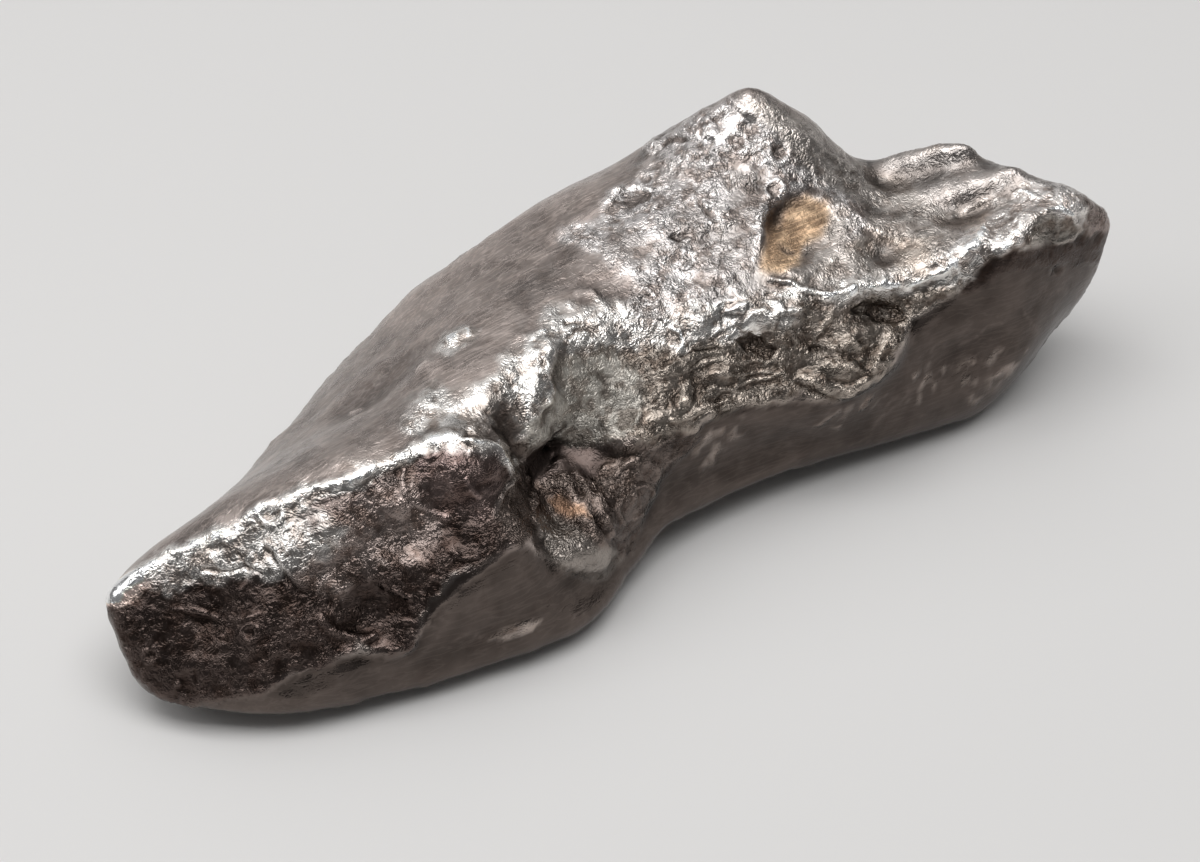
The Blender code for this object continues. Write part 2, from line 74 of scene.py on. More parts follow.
@dataclass(frozen=True)
class Photograph:
    """The camera that took the photograph, in the lump's own frame, in millimetres and degrees."""

    azimuth: float = -31.0
    elevation: float = 42.0
    distance: float = 320.0
    target: Place = (-5.686, -10.148, 16.0)
    lens: float = 100.0
    sensor: float = 36.0
    width: int = 1200
    height: int = 862

    def back(self) -> Vector:
        """Gives the direction from the target to the camera.

        Returns:
            The direction, one long.
        """
        turn, tilt = math.radians(self.azimuth), math.radians(self.elevation)
        level = math.cos(tilt)
        return Vector((math.sin(turn) * level, -math.cos(turn) * level, math.sin(tilt)))

    def right(self) -> Vector:
        """Gives the direction of the photograph's width."""
        turn = math.radians(self.azimuth)
        return Vector((math.cos(turn), math.sin(turn), 0.0))

    def up(self) -> Vector:
        """Gives the direction of the photograph's height."""
        return self.back().cross(self.right())

    def eye(self) -> Vector:
        """Gives the place of the camera."""
        return Vector(self.target) + self.back() * self.distance

    def pixels(self, points: Array) -> Array:
        """Finds where points appear in the photograph.

        Args:
            points: Places in millimetres, one to a row.

        Returns:
            The pixel of each place, one to a row.
        """
        focal = self.width * self.lens / self.sensor
        offset = points - np.array(self.eye())
        depth = -(offset @ np.array(self.back()))
        across = self.width / 2 + focal * (offset @ np.array(self.right())) / depth
        down = self.height / 2 - focal * (offset @ np.array(self.up())) / depth
        return np.stack([across, down], axis=1)


class Side(Enum):
    """The gentle side of a crease, walking along it in the photograph. The other side is steep."""

    BOTH = 0
    LEFT = 1
    RIGHT = -1


@dataclass(frozen=True)
class Tone:
    """How a zone of the skin looks: its colour, its rust and the amount of each kind of grain."""

    colour: Colour
    roughness: float = 0.3
    rust: float = 0.0
    fine: float = 0.3
    grain: float = 0.3
    pits: float = 0.2
    layers: float = 0.0
    flow: float = 0.0


@dataclass(frozen=True)
class Zone:
    """A zone of the skin with a tone of its own, inside an outline in the photograph.

    Its border is as soft as its feather, and wanders by a share of it. A broken zone shows only
    in scattered spots.
    """

    name: str
    tone: Tone
    feather: float
    outline: Line
    strength: float = 1.0
    broken: bool = False
    wander: float = 0.45


@dataclass(frozen=True)
class Bulge:
    """A place where the form swells out, in millimetres, also where the photograph is blind."""

    name: str
    centre: Place
    radius: float
    rise: float


@dataclass(frozen=True)
class Calm:
    """An outlined part of the skin whose form is softened, the more the more rounds it gets."""

    name: str
    rounds: int
    outline: Line


@dataclass(frozen=True)
class Patch:
    """An outlined patch of the skin that stands up, or sinks where its rise is negative."""

    name: str
    rise: float
    edge: float
    outline: Line
    ragged: float = 1.5


@dataclass(frozen=True)
class Crease:
    """A crest along a line, or a groove where its rise is negative. Along it the colour is
    brightened, partly rubbed iron and partly a painted highlight.
    """

    name: str
    width: float
    rise: float
    rubbing_and_painted_highlight: float
    points: Line
    side: Side = Side.BOTH
    ragged: float = 1.2


@dataclass(frozen=True)
class Crater:
    """A small round pit with a raised rim, or a bead where its depth is negative."""

    name: str
    centre: Pixel
    radius: float
    depth: float
    rim: float


def groove(name: str, width: float, depth: float, points: Line) -> Crease:
    """Gives a crease that is cut in and gets no painted highlight."""
    return Crease(name, width, -depth, 0.0, points)


def scratch(rubbing_and_painted_highlight: float, points: Line) -> Crease:
    """Gives a hair-thin crest that does little but brighten its line, partly rubbed and partly a
    painted highlight.
    """
    return Crease("scratch", SCRATCH_WIDTH, SCRATCH_RISE, rubbing_and_painted_highlight, points)


# Tones of the iron, some of them painted shade or painted highlights.
ROUGH = Tone((0.34, 0.305, 0.28), roughness=0.28, fine=0.6, grain=0.9, pits=0.3, layers=0.2)
SLOPE = Tone((0.4, 0.342, 0.313), roughness=0.28, fine=0.26, grain=0.16, pits=0.08, flow=1.0)
SHADE = Tone((0.28, 0.242, 0.223), roughness=0.28, fine=0.4, grain=0.3, pits=0.1, flow=0.8)
WHITE = Tone((0.57, 0.54, 0.525), roughness=0.24, fine=1.1, grain=0.85, pits=0.3)
# Partly rubbed bright iron, partly painted highlight, for the brows, lumps and shoulder.
BROW = Tone((0.7, 0.675, 0.645), roughness=0.24, fine=0.8, grain=0.85, pits=0.25)
BROWN = Tone((0.275, 0.238, 0.206), roughness=0.29, fine=1.2, grain=0.75, pits=0.25, layers=0.75)
GREEN = Tone(
    (0.45, 0.422, 0.38), roughness=0.42, rust=0.25, fine=1.8, grain=0.65, pits=1.4, layers=0.1,
)
# Painted shade: the left face's near-black colour stands in for the dark room that it mirrors.
SHADED_LEFT_FACE = Tone((0.08, 0.06, 0.053), roughness=0.28, fine=0.8, grain=0.8, pits=0.25, layers=0.25)
DUSK = Tone((0.26, 0.212, 0.193), roughness=0.27, fine=1.0, grain=0.8, pits=0.3, layers=0.3)
PURPLE = Tone((0.2, 0.15, 0.138), roughness=0.26, fine=0.45, grain=0.7, pits=0.15, layers=0.2)
# Painted shade for the gully behind the knob and for the wall of the rusty hollow.
HOLLOW_SHADE = Tone((0.15, 0.12, 0.105), roughness=0.34, fine=0.5, grain=0.6, pits=0.2)
# Painted shade: the polished flank's near-black colour stands in for the shaded floor that it
# mirrors.
SHADED_FLANK = Tone((0.085, 0.069, 0.061), roughness=0.16, fine=0.1, grain=0.12, pits=0.05, flow=0.5)
SPECK = Tone((0.32, 0.27, 0.24), roughness=0.28, fine=1.2, grain=0.7, pits=0.3)
# Painted shade: a dark colour for the inside of the pocket.
POCKET_SHADE = Tone((0.14, 0.112, 0.098), roughness=0.28, fine=1.3, grain=0.7, pits=0.4, layers=0.15)
DUN = Tone((0.34, 0.31, 0.28), roughness=0.33, fine=1.0, grain=1.0, pits=0.4)
GREY = Tone((0.29, 0.262, 0.246), roughness=0.28, fine=0.6, grain=0.7, pits=0.2)
# Painted shade: a dark colour for the overhanging roof of the pocket.
ROOF_SHADE = Tone((0.11, 0.086, 0.078), roughness=0.32, fine=0.4, grain=0.3, pits=0.1)
TAN = Tone((0.41, 0.25, 0.16), roughness=0.45, rust=0.3, fine=0.8, grain=0.5, pits=0.25)
OCHRE = Tone((0.52, 0.365, 0.235), roughness=0.5, rust=0.5, fine=1.2, grain=0.5, pits=0.2, flow=1.6)
LOBE = Tone((0.24, 0.213, 0.192), roughness=0.36, fine=1.4, grain=0.5, pits=0.2)
SADDLE = Tone((0.42, 0.384, 0.355), roughness=0.28, fine=0.85, grain=0.6, pits=0.15, flow=0.5)
RIB = Tone((0.32, 0.292, 0.275), roughness=0.3, fine=0.5, grain=0.35, pits=0.1, flow=0.5)
# Painted shade: a near-black colour for the underside of the nose.
UNDERSIDE_SHADE = Tone((0.07, 0.053, 0.046), roughness=0.36, fine=0.6, grain=0.8, pits=0.3)
# Partly rubbed bright iron, partly painted highlight, for the top of the nose.
NOSE = Tone((0.8, 0.76, 0.73), roughness=0.25, fine=0.9, grain=0.8, pits=0.25)
# Painted highlight: the tip's near-white colour stands in for the lamp light that it catches.
TIP = Tone((1.0, 0.82, 0.74), roughness=0.3, fine=0.4, grain=0.3)

# Zones, each laid over the ones before it.
ZONES = (
    Zone("long slope", SLOPE, 20, (
        (200, 530), (250, 440), (300, 390), (400, 290), (480, 205), (600, 160), (650, 140),
        (640, 178), (560, 238), (590, 260), (575, 308), (520, 352), (440, 400), (400, 440),
        (330, 480), (250, 512),
    )),
    Zone("dim foot of the slope", SHADE, 26, strength=0.65, outline=(
        (190, 530), (250, 440), (300, 390), (365, 325), (430, 345), (425, 395), (400, 436),
        (330, 474), (250, 508),
    )),
    Zone("saddle", SADDLE, 20, (
        (800, 120), (850, 160), (900, 175), (960, 190), (1010, 198), (960, 225), (940, 265),
        (870, 282), (800, 288), (800, 262), (850, 245), (868, 240), (850, 205), (810, 165),
    )),
    Zone("ribs", RIB, 14, (
        (855, 158), (900, 150), (950, 140), (1000, 162), (1090, 190), (1040, 190), (990, 200),
        (950, 215), (900, 180),
    )),
    Zone("dim slope by the plateau", SHADE, 16, (
        (545, 262), (565, 248), (592, 252), (625, 262), (650, 285), (640, 305), (600, 305),
        (575, 300), (545, 312), (515, 330), (505, 305),
    )),
    Zone("plateau", WHITE, 17, (
        (560, 240), (600, 205), (645, 172), (655, 145), (700, 113), (735, 90), (758, 112),
        (800, 158), (850, 205), (868, 240), (838, 225), (818, 192), (790, 192), (768, 225),
        (755, 265), (772, 292), (700, 300), (650, 322), (600, 318), (640, 290), (612, 262),
        (575, 250),
    )),
    Zone("grey patch beside the rusty hollow", GREY, 12, strength=0.8, outline=(
        (733, 152), (752, 150), (766, 172), (764, 200), (752, 232), (740, 256), (728, 232),
        (730, 190),
    )),
    Zone("grey part below the rusty hollow", GREY, 16, strength=0.6, outline=(
        (694, 234), (722, 226), (752, 232), (757, 264), (772, 290), (735, 298), (700, 292),
    )),
    Zone("peak", RIB, 12, strength=0.85, outline=(
        (738, 86), (760, 92), (792, 124), (802, 150), (778, 142), (752, 122), (734, 108),
    )),
    Zone("grey patch of the plateau", GREY, 12, strength=0.7, outline=(
        (600, 236), (640, 226), (664, 240), (655, 264), (618, 266),
    )),
    Zone("grey patch of the step", GREY, 10, strength=0.6, outline=(
        (668, 214), (700, 210), (714, 236), (692, 250), (668, 240),
    )),
    Zone("grey patch below the plates", GREY, 10, strength=0.6, outline=(
        (652, 166), (688, 158), (702, 174), (672, 186),
    )),
    # Painted highlight, partly rubbed bright iron, along the upper brow.
    Zone("upper brow", BROW, 15, (
        (425, 440), (445, 405), (480, 385), (520, 345), (560, 312), (600, 305), (650, 320),
        (700, 300), (770, 288), (820, 286), (860, 280), (930, 268), (975, 235), (1000, 225),
        (1015, 240), (985, 262), (960, 285), (900, 295), (860, 297), (800, 302), (770, 332),
        (720, 345), (690, 347), (640, 353), (578, 352), (548, 375), (550, 405), (530, 442),
        (515, 432), (520, 400), (490, 388), (470, 420), (440, 432),
    )),
    # Painted highlight, partly rubbed bright iron, on the lumps of the slope.
    Zone("lumps on the slope", BROW, 14, (
        (400, 418), (415, 400), (435, 385), (448, 392), (445, 408), (432, 420), (418, 432),
        (404, 428),
    )),
    # Painted highlight, partly rubbed bright iron, on the small lump.
    Zone("small lump on the slope", BROW, 7, strength=0.9, wander=0.6, outline=(
        (434, 354), (442, 337), (460, 326), (476, 328), (468, 342), (452, 354),
    )),
    Zone("rough band", BROWN, 14, (
        (570, 353), (640, 352), (690, 345), (730, 345), (770, 330), (800, 302), (860, 298),
        (905, 292), (930, 285), (960, 275), (955, 295), (915, 315), (900, 345), (890, 372),
        (860, 394), (800, 403), (740, 410), (700, 422), (690, 450), (650, 475), (640, 440),
        (600, 446), (570, 436), (590, 400),
    )),
    # Painted highlight, partly rubbed bright iron, on the lumps of the rough band.
    Zone("light lumps of the rough band", BROW, 14, strength=0.6, outline=(
        (730, 330), (745, 312), (775, 305), (800, 312), (800, 330), (775, 338), (750, 338),
    )),
    Zone("bowl", GREEN, 11, (
        (548, 385), (560, 362), (585, 352), (615, 353), (640, 368), (648, 395), (640, 430),
        (600, 446), (560, 440), (528, 446), (520, 437), (540, 412),
    )),
    # Painted shade over the left face.
    Zone("left face", SHADED_LEFT_FACE, 14, (
        (104, 605), (150, 577), (215, 548), (260, 522), (300, 499), (350, 484), (420, 452),
        (500, 447), (515, 472), (505, 500), (520, 542), (470, 570), (430, 602), (415, 650),
        (330, 660), (260, 697), (165, 712), (140, 700), (118, 640),
    )),
    Zone("lit part of the left face", DUSK, 18, (
        (270, 530), (345, 492), (415, 466), (428, 500), (440, 530), (420, 560), (380, 572),
        (340, 590), (300, 590),
    )),
    # Painted highlight on the shoulder.
    Zone("shoulder", BROW, 26, strength=0.85, outline=(
        (150, 566), (210, 548), (250, 522), (300, 508), (335, 530), (338, 560), (300, 570),
        (250, 566), (200, 572), (160, 580),
    )),
    # Painted highlight, partly rubbed bright iron, along the left brow.
    Zone("left brow", BROW, 9, (
        (104, 600), (150, 558), (200, 537), (255, 507), (300, 488), (350, 475), (400, 446),
        (430, 433), (500, 438), (522, 466), (513, 480), (495, 458), (430, 455), (400, 465),
        (350, 490), (300, 512), (255, 530), (215, 556), (150, 572), (122, 602),
    )),
    # Painted highlight on the tip.
    Zone("rubbed tip with painted highlight", TIP, 6, (
        (104, 606), (104, 592), (122, 580), (142, 574), (150, 582), (136, 596), (122, 606),
    )),
    Zone("knob face", PURPLE, 22, strength=0.8, outline=(
        (425, 458), (485, 452), (500, 470), (502, 500), (490, 516), (450, 522), (420, 502),
        (412, 472),
    )),
    # Painted shade in the gully.
    Zone("gully behind the knob", HOLLOW_SHADE, 10, strength=0.7, outline=(
        (468, 431), (490, 424), (498, 408), (512, 408), (524, 428), (535, 445), (524, 462),
        (510, 450), (498, 436),
    )),
    # Painted shade over the flank.
    Zone("flank", SHADED_FLANK, 6, (
        (120, 706), (165, 706), (260, 693), (330, 659), (415, 648), (430, 603), (470, 570),
        (520, 544), (545, 556), (590, 574), (618, 558), (634, 520), (672, 460), (704, 421),
        (740, 408), (800, 401), (860, 394), (895, 368), (915, 318), (960, 292), (1040, 258),
        (1105, 247), (1130, 260), (1080, 360), (1000, 430), (860, 470), (700, 530), (640, 600),
        (600, 660), (420, 720), (165, 740),
    )),
    Zone("scar", SPECK, 4, (
        (488, 640), (503, 630), (525, 623), (541, 622), (533, 630), (512, 638),
    )),
    Zone("speckled flank by the pocket", SPECK, 8, strength=0.9, broken=True, outline=(
        (692, 462), (702, 436), (722, 420), (748, 418), (742, 440), (715, 462),
    )),
    Zone("speckled flank by the hook", SPECK, 8, strength=0.9, broken=True, outline=(
        (905, 398), (912, 376), (930, 362), (945, 370), (938, 390), (918, 402),
    )),
    Zone("speckled middle of the flank", SPECK, 8, strength=0.7, broken=True, outline=(
        (955, 372), (985, 350), (1010, 344), (1024, 358), (1002, 392), (972, 408),
    )),
    Zone("speckled edge of the flank", SPECK, 7, strength=0.9, broken=True, outline=(
        (815, 424), (838, 408), (866, 400), (884, 396), (868, 412), (840, 426),
    )),
    # Painted shade inside the pocket.
    Zone("pocket", POCKET_SHADE, 10, (
        (528, 452), (545, 446), (575, 442), (605, 451), (640, 442), (690, 428), (700, 442),
        (650, 490), (640, 525), (620, 560), (590, 573), (560, 556), (540, 535), (520, 547),
        (503, 540), (506, 500), (518, 480),
    )),
    # Painted shade under the pocket's overhang.
    Zone("roof of the pocket", ROOF_SHADE, 10, (
        (530, 452), (550, 444), (575, 441), (620, 453), (600, 478), (560, 470), (535, 484),
    )),
    Zone("tan patch", TAN, 8, strength=0.85, outline=(
        (546, 500), (560, 497), (580, 508), (585, 521), (568, 520), (551, 511),
    )),
    Zone("lobe", LOBE, 9, wander=0.3, outline=(
        (534, 518), (556, 520), (590, 543), (614, 547), (620, 560), (608, 578), (590, 584),
        (565, 571), (545, 553),
    )),
    # Painted shade on the wall of the rusty hollow.
    Zone("wall of the rusty hollow", HOLLOW_SHADE, 7, strength=0.9, wander=0.2, outline=(
        (757, 264), (758, 240), (767, 220), (777, 202), (793, 189), (815, 186), (826, 193),
        (806, 197), (790, 204), (779, 217), (770, 233), (765, 250), (766, 264),
    )),
    Zone("floor of the rusty hollow", OCHRE, 13, wander=0.2, outline=(
        (762, 266), (763, 250), (769, 234), (778, 217), (790, 204), (806, 197), (822, 199),
        (829, 212), (826, 232), (816, 248), (800, 262), (782, 271), (770, 271),
    )),
    Zone("grey side of the rusty hollow", SADDLE, 16, strength=0.75, wander=0.3, outline=(
        (818, 198), (832, 206), (848, 225), (850, 245), (838, 258), (815, 268), (800, 272),
        (812, 254), (818, 238), (821, 220),
    )),
    Zone("rust behind the brow", OCHRE, 34, strength=0.2, outline=(
        (868, 236), (900, 240), (925, 248), (922, 264), (900, 270), (874, 262),
    )),
    # Painted highlight on the top of the nose, partly rubbed iron.
    Zone("nose", NOSE, 14, (
        (1000, 208), (1022, 188), (1055, 180), (1082, 190), (1092, 208), (1086, 224), (1060, 214),
        (1040, 214), (1022, 228), (1016, 243), (990, 258), (955, 262), (965, 228),
    )),
    Zone("end of the nose", DUSK, 10, (
        (1090, 196), (1102, 206), (1118, 228), (1114, 256), (1086, 250), (1088, 230), (1094, 212),
    )),
    Zone("hollow of the nose", DUN, 7, (
        (1026, 241), (1031, 224), (1050, 213), (1068, 218), (1080, 232), (1064, 242), (1045, 245),
    )),
    # Painted shade under the nose.
    Zone("under the nose", UNDERSIDE_SHADE, 6, (
        (955, 294), (985, 266), (1015, 249), (1050, 243), (1080, 240), (1118, 232), (1118, 262),
        (1040, 264), (1000, 277), (965, 296),
    )),
    Zone("right of the peak", SADDLE, 10, (
        (752, 95), (800, 122), (850, 158), (835, 165), (790, 141), (755, 120),
    )),
)

# Where the form is fuller than the solid.
BULGES = (
    Bulge("shoulder right of the peak", (30.5, 8.5, 26.0), 8.5, 1.5),
)

# Parts of the skin that are softened before anything is worked into them.
CALMS = (
    Calm("rusty hollow", 160, (
        (768, 262), (768, 242), (780, 217), (800, 203), (822, 205), (840, 228), (832, 252),
        (800, 270),
    )),
    Calm("bowl", 90, (
        (540, 385), (556, 348), (600, 345), (650, 352), (662, 385), (655, 425), (620, 440),
        (560, 437), (535, 425),
    )),
    Calm("roof of the pocket", 40, (
        (530, 452), (560, 445), (600, 452), (612, 470), (580, 490), (545, 492), (524, 478),
    )),
    Calm("edge of the left flank", 40, (
        (276, 670), (318, 660), (332, 684), (300, 697), (272, 694),
    )),
    Calm("flank by the pocket", 60, (
        (715, 440), (745, 425), (790, 425), (800, 445), (770, 470), (740, 480), (715, 465),
    )),
    Calm("grooves of the nose", 22, (
        (862, 165), (905, 150), (985, 158), (1010, 172), (1055, 186), (1030, 196), (985, 222),
        (950, 232), (925, 215), (890, 195),
    )),
)

# Raised and sunk patches.
PATCHES = (
    Patch("floor of the bowl", 0.9, 46, (
        (572, 376), (600, 368), (630, 378), (632, 402), (596, 418), (566, 408),
    )),
    Patch("shallow side of the rusty hollow", 0.35, 40, (
        (808, 222), (822, 226), (826, 238), (814, 250), (800, 254), (798, 238),
    )),
    Patch("tongue in the pocket", 0.42, 7, (
        (534, 482), (531, 500), (540, 530), (548, 546), (562, 562), (577, 571), (592, 573),
        (606, 567), (616, 553), (612, 535), (600, 510), (590, 490), (580, 470), (560, 458),
    )),
    Patch("dent", -0.5, 7, (
        (736, 338), (748, 337), (764, 344), (777, 349), (769, 360), (757, 355), (745, 348),
    )),
    Patch("boulder at the peak", 0.28, 5, (
        (701, 140), (703, 124), (709, 116), (715, 122), (717, 134), (710, 141),
    )),
    Patch("pit below the peak", -0.22, 5, (
        (724, 141), (732, 134), (742, 137), (745, 144), (735, 148),
    )),
    Patch("oval pit", -0.25, 4, ((670, 238), (676, 232), (687, 233), (690, 238), (680, 242))),
    Patch("dark floor in the arc", -0.2, 4, (
        (612, 204), (616, 193), (632, 188), (650, 193), (650, 203), (630, 205),
    )),
    Patch("hollow under the ledge", -0.5, 8, (
        (852, 310), (865, 303), (882, 302), (898, 306), (908, 316), (895, 323), (878, 321),
        (866, 316),
    )),
    Patch("bright lump", 0.4, 5, ((680, 404), (680, 388), (688, 383), (694, 392), (691, 405))),
    Patch("light plate", 0.35, 5, (
        (741, 327), (747, 312), (765, 307), (777, 319), (772, 333), (755, 338),
    )),
    Patch("left pink facet", 0.2, 3, ((723, 311), (735, 303), (747, 302), (741, 313))),
    Patch("right pink facet", 0.3, 3, ((768, 300), (780, 301), (786, 315), (775, 319))),
    Patch("hollow in the left face", -0.4, 18, (
        (330, 602), (345, 585), (372, 580), (400, 592), (412, 618), (398, 642), (370, 642),
        (345, 627),
    )),
    Patch("purple hollow", -0.25, 7, ((612, 425), (620, 413), (636, 411), (630, 424), (620, 429))),
    Patch("dish by the rusty hollow", -0.15, 9, (
        (810, 286), (807, 275), (820, 261), (838, 255), (851, 262), (853, 276), (843, 288),
        (825, 291),
    )),
    Patch("dish behind the brow", -0.12, 14, (
        (866, 235), (900, 237), (927, 245), (926, 263), (900, 273), (875, 266),
    )),
    Patch("plates of the rim", 0.25, 4, (
        (645, 150), (668, 137), (700, 112), (724, 100), (728, 106), (704, 124), (698, 141),
        (682, 137), (668, 139), (652, 156),
    )),
    Patch("rough heap in the pocket", 0.4, 8, (
        (600, 470), (640, 455), (660, 465), (655, 495), (640, 520), (615, 545), (596, 520),
        (592, 495),
    )),
)

# Crests, from the plateau over the nose and the rough band to the left face.
CRESTS = (
    Crease("curl by the brow", 2.6, 0.3, 1.0, ((519, 336), (530, 338), (545, 331))),
    Crease("upper curl", 2.2, 0.25, 1.0, ((577, 293), (589, 290), (597, 299))),
    Crease("second curl", 2.0, 0.2, 0.8, ((634, 286), (646, 291), (653, 297))),
    Crease("edge of the plateau", 6.0, 0.24, 0.7, (
        (553, 239), (575, 223), (600, 206), (620, 191), (642, 176), (651, 160), (657, 147),
    )),
    Crease("arc", 2.2, 0.25, 0.8, ((611, 203), (617, 192), (632, 187), (649, 191))),
    Crease("line on the peak", 2.2, 0.25, 1.0, ((731, 97), (741, 108), (753, 115))),
    Crease("rim of the dish", 2.6, 0.3, 1.0, (
        (770, 278), (790, 283), (801, 290), (830, 294), (853, 288),
    )),
    Crease("edge of the saddle", 2.6, 0.3, 1.0, (
        (838, 206), (855, 218), (872, 228), (890, 237), (901, 244),
    )),
    Crease("edge of the brow", 4.8, 0.28, 0.8, (
        (822, 297), (848, 296), (861, 287), (880, 285), (905, 285), (925, 277), (943, 272),
        (955, 263), (975, 245), (984, 231),
    )),
    Crease("inner edge of the nose", 7.6, 0.32, 0.7, (
        (1000, 252), (1013, 242), (1016, 228), (1028, 218), (1045, 212),
    )),
    Crease("rim of the nose hollow", 2.2, 0.22, 0.9, (
        (1045, 212), (1058, 207), (1072, 215), (1081, 230), (1070, 239), (1055, 243),
    )),
    Crease("streak by the front groove", 1.8, 0.15, 0.9, (
        (950, 219), (968, 208), (985, 203), (1006, 199),
    )),
    Crease("second streak", 1.8, 0.15, 0.8, ((962, 212), (985, 199), (1001, 190))),
    Crease("crest of the nose", 2.4, 0.22, 1.0, (
        (1012, 196), (1022, 191), (1040, 198), (1052, 193),
    )),
    Crease("curl over the crack", 2.2, 0.3, 0.9, ((671, 327), (680, 331), (683, 341), (677, 351))),
    Crease("long bright wrinkle", 1.9, 0.25, 0.9, ((738, 386), (752, 380), (766, 378), (783, 373))),
    Crease("wrinkle above it", 1.9, 0.22, 0.7, ((718, 373), (735, 376), (760, 371), (776, 373))),
    Crease("wrinkle by the crack", 1.9, 0.22, 0.7, (
        (702, 366), (718, 360), (738, 362), (760, 359),
    )),
    Crease("wrinkle under the lump", 1.9, 0.22, 0.7, (
        (700, 393), (715, 388), (737, 390), (752, 394),
    )),
    Crease("lip over the overhang", 2.4, 0.35, 1.1, (
        (672, 420), (688, 417), (700, 410), (713, 403), (728, 399),
    )),
    Crease("pair of wrinkles", 1.9, 0.25, 1.0, ((632, 425), (645, 413), (657, 405))),
    Crease("small lump in the pocket's brim", 2.8, 0.3, 0.8, ((650, 447), (660, 442), (671, 438))),
    Crease("rim of the hook", 5.4, 0.48, 1.1, (
        (805, 377), (820, 383), (836, 387), (851, 388), (866, 378), (874, 364), (882, 352),
        (886, 339),
    )),
    Crease("lump in the hook", 4.0, 0.32, 1.0, ((841, 348), (849, 340), (859, 347))),
    Crease("second lump in the hook", 3.6, 0.28, 0.9, ((843, 369), (852, 366), (862, 371))),
    Crease("bright edge left of the hook", 2.8, 0.35, 0.9, ((815, 337), (824, 326), (829, 319))),
    Crease("bright streak under the brow", 2.2, 0.25, 1.0, ((788, 312), (798, 311), (808, 307))),
    Crease("left brow", 7.6, 0.28, 0.7, (
        (108, 601), (128, 585), (148, 568), (170, 556), (190, 547), (205, 540), (228, 536),
    )),
    Crease("middle of the left brow", 5.8, 0.28, 0.7, (
        (248, 517), (262, 506), (285, 501), (300, 496), (320, 487), (347, 480),
    )),
    Crease("right of the left brow", 7.6, 0.32, 0.7, (
        (350, 479), (372, 468), (390, 462), (402, 454), (420, 445), (437, 440), (457, 436),
    )),
    Crease("rim of the knob", 4.2, 0.38, 1.2, (
        (468, 440), (485, 441), (497, 447), (504, 458), (509, 467), (513, 474), (517, 480),
    )),
    Crease("edge under the knob", 2.4, 0.3, 1.2, (
        (516, 480), (510, 485), (505, 493), (500, 503), (498, 510),
    )),
    Crease("rib in the pocket", 1.9, 0.35, 0.6, (
        (528, 478), (531, 492), (534, 505), (533, 520), (541, 536),
    )),
    Crease("scratch on the knob", 1.8, 0.18, 0.7, ((454, 466), (463, 476), (470, 485), (480, 496))),
    Crease("short rib on the left face", 2.0, 0.22, 0.5, ((405, 468), (402, 480), (404, 493))),
    Crease("light streak on the left face", 2.8, 0.22, 0.5, ((418, 504), (430, 512), (449, 518))),
    Crease("rim of the left hollow", 4.2, 0.45, 1.0, (
        (322, 618), (330, 628), (340, 635), (352, 638), (363, 641), (374, 635),
    )),
    Crease("left streak of the face", 2.8, 0.28, 0.6, (
        (172, 608), (190, 609), (205, 613), (218, 617),
    )),
    Crease("right streak of the face", 2.2, 0.22, 0.5, ((230, 617), (246, 619), (259, 613))),
    Crease("right edge of the left hollow", 3.4, 0.35, 1.0, ((384, 586), (397, 592), (410, 598))),
    Crease("spot by the flank", 3.0, 0.3, 0.9, ((404, 620), (414, 622))),
    Crease("second spot by the flank", 2.8, 0.3, 0.9, ((425, 615), (431, 626))),
    Crease("third spot by the flank", 3.0, 0.3, 0.9, ((432, 577), (442, 581))),
    Crease("crumpled edge over the flank", 2.2, 0.25, 0.8, ((452, 551), (462, 560), (478, 556))),
    Crease("wrinkle in the heap", 2.0, 0.3, 0.6, ((587, 478), (592, 488), (597, 500), (604, 511))),
    Crease("second wrinkle in the heap", 1.8, 0.3, 0.6, (
        (618, 477), (622, 468), (632, 460), (641, 463),
    )),
    Crease("loop in the heap", 1.8, 0.3, 0.6, (
        (632, 498), (630, 488), (640, 484), (650, 488), (650, 498),
    )),
    Crease("low wrinkle in the heap", 1.8, 0.3, 0.6, ((622, 523), (616, 512), (621, 501))),
    Crease("bright end of the heap", 1.8, 0.25, 0.8, ((627, 519), (639, 513))),
    Crease("lower rim of the bowl", 1.8, 0.22, 0.6, (
        (540, 434), (552, 440), (563, 436), (574, 437),
    )),
    Crease("left rim of the bowl", 5.0, 0.35, 0.8, (
        (556, 352), (546, 376), (548, 400), (538, 422), (522, 438),
    )),
    Crease("lower brow of the left face", 10.0, 0.26, 0.25, side=Side.LEFT, ragged=3.0, points=(
        (165, 712), (200, 703), (260, 695), (290, 681), (310, 666), (340, 656), (400, 654),
        (416, 640), (430, 622), (445, 602), (462, 585), (482, 570), (500, 560), (516, 545),
    )),
    Crease("lower brow of the rough band", 10.0, 0.3, 0.3, side=Side.LEFT, points=(
        (690, 432), (712, 414), (735, 404), (770, 402), (800, 404), (835, 401), (858, 394),
        (876, 380), (888, 360), (895, 340),
    )),
    Crease("small lump on the slope", 4.2, 0.35, 1.4, ((449, 340), (458, 334), (467, 331))),
    Crease("second lump on the slope", 3.2, 0.3, 1.3, ((420, 370), (428, 363))),
    Crease("third lump on the slope", 3.2, 0.3, 1.3, ((353, 415), (361, 410))),
    Crease("upper crease of the tip", 2.5, 0.2, 0.8, ((176, 608), (200, 612), (222, 618))),
    # Rubbing and a painted highlight along the tip.
    Crease("rubbed tip with painted highlight", 6.0, 0.1, 1.5, ((110, 604), (122, 588), (142, 573))),
    Crease("flow line under the peak", 1.6, 0.12, 0.5, (
        (752, 118), (775, 125), (800, 133), (825, 150), (852, 170),
    )),
)

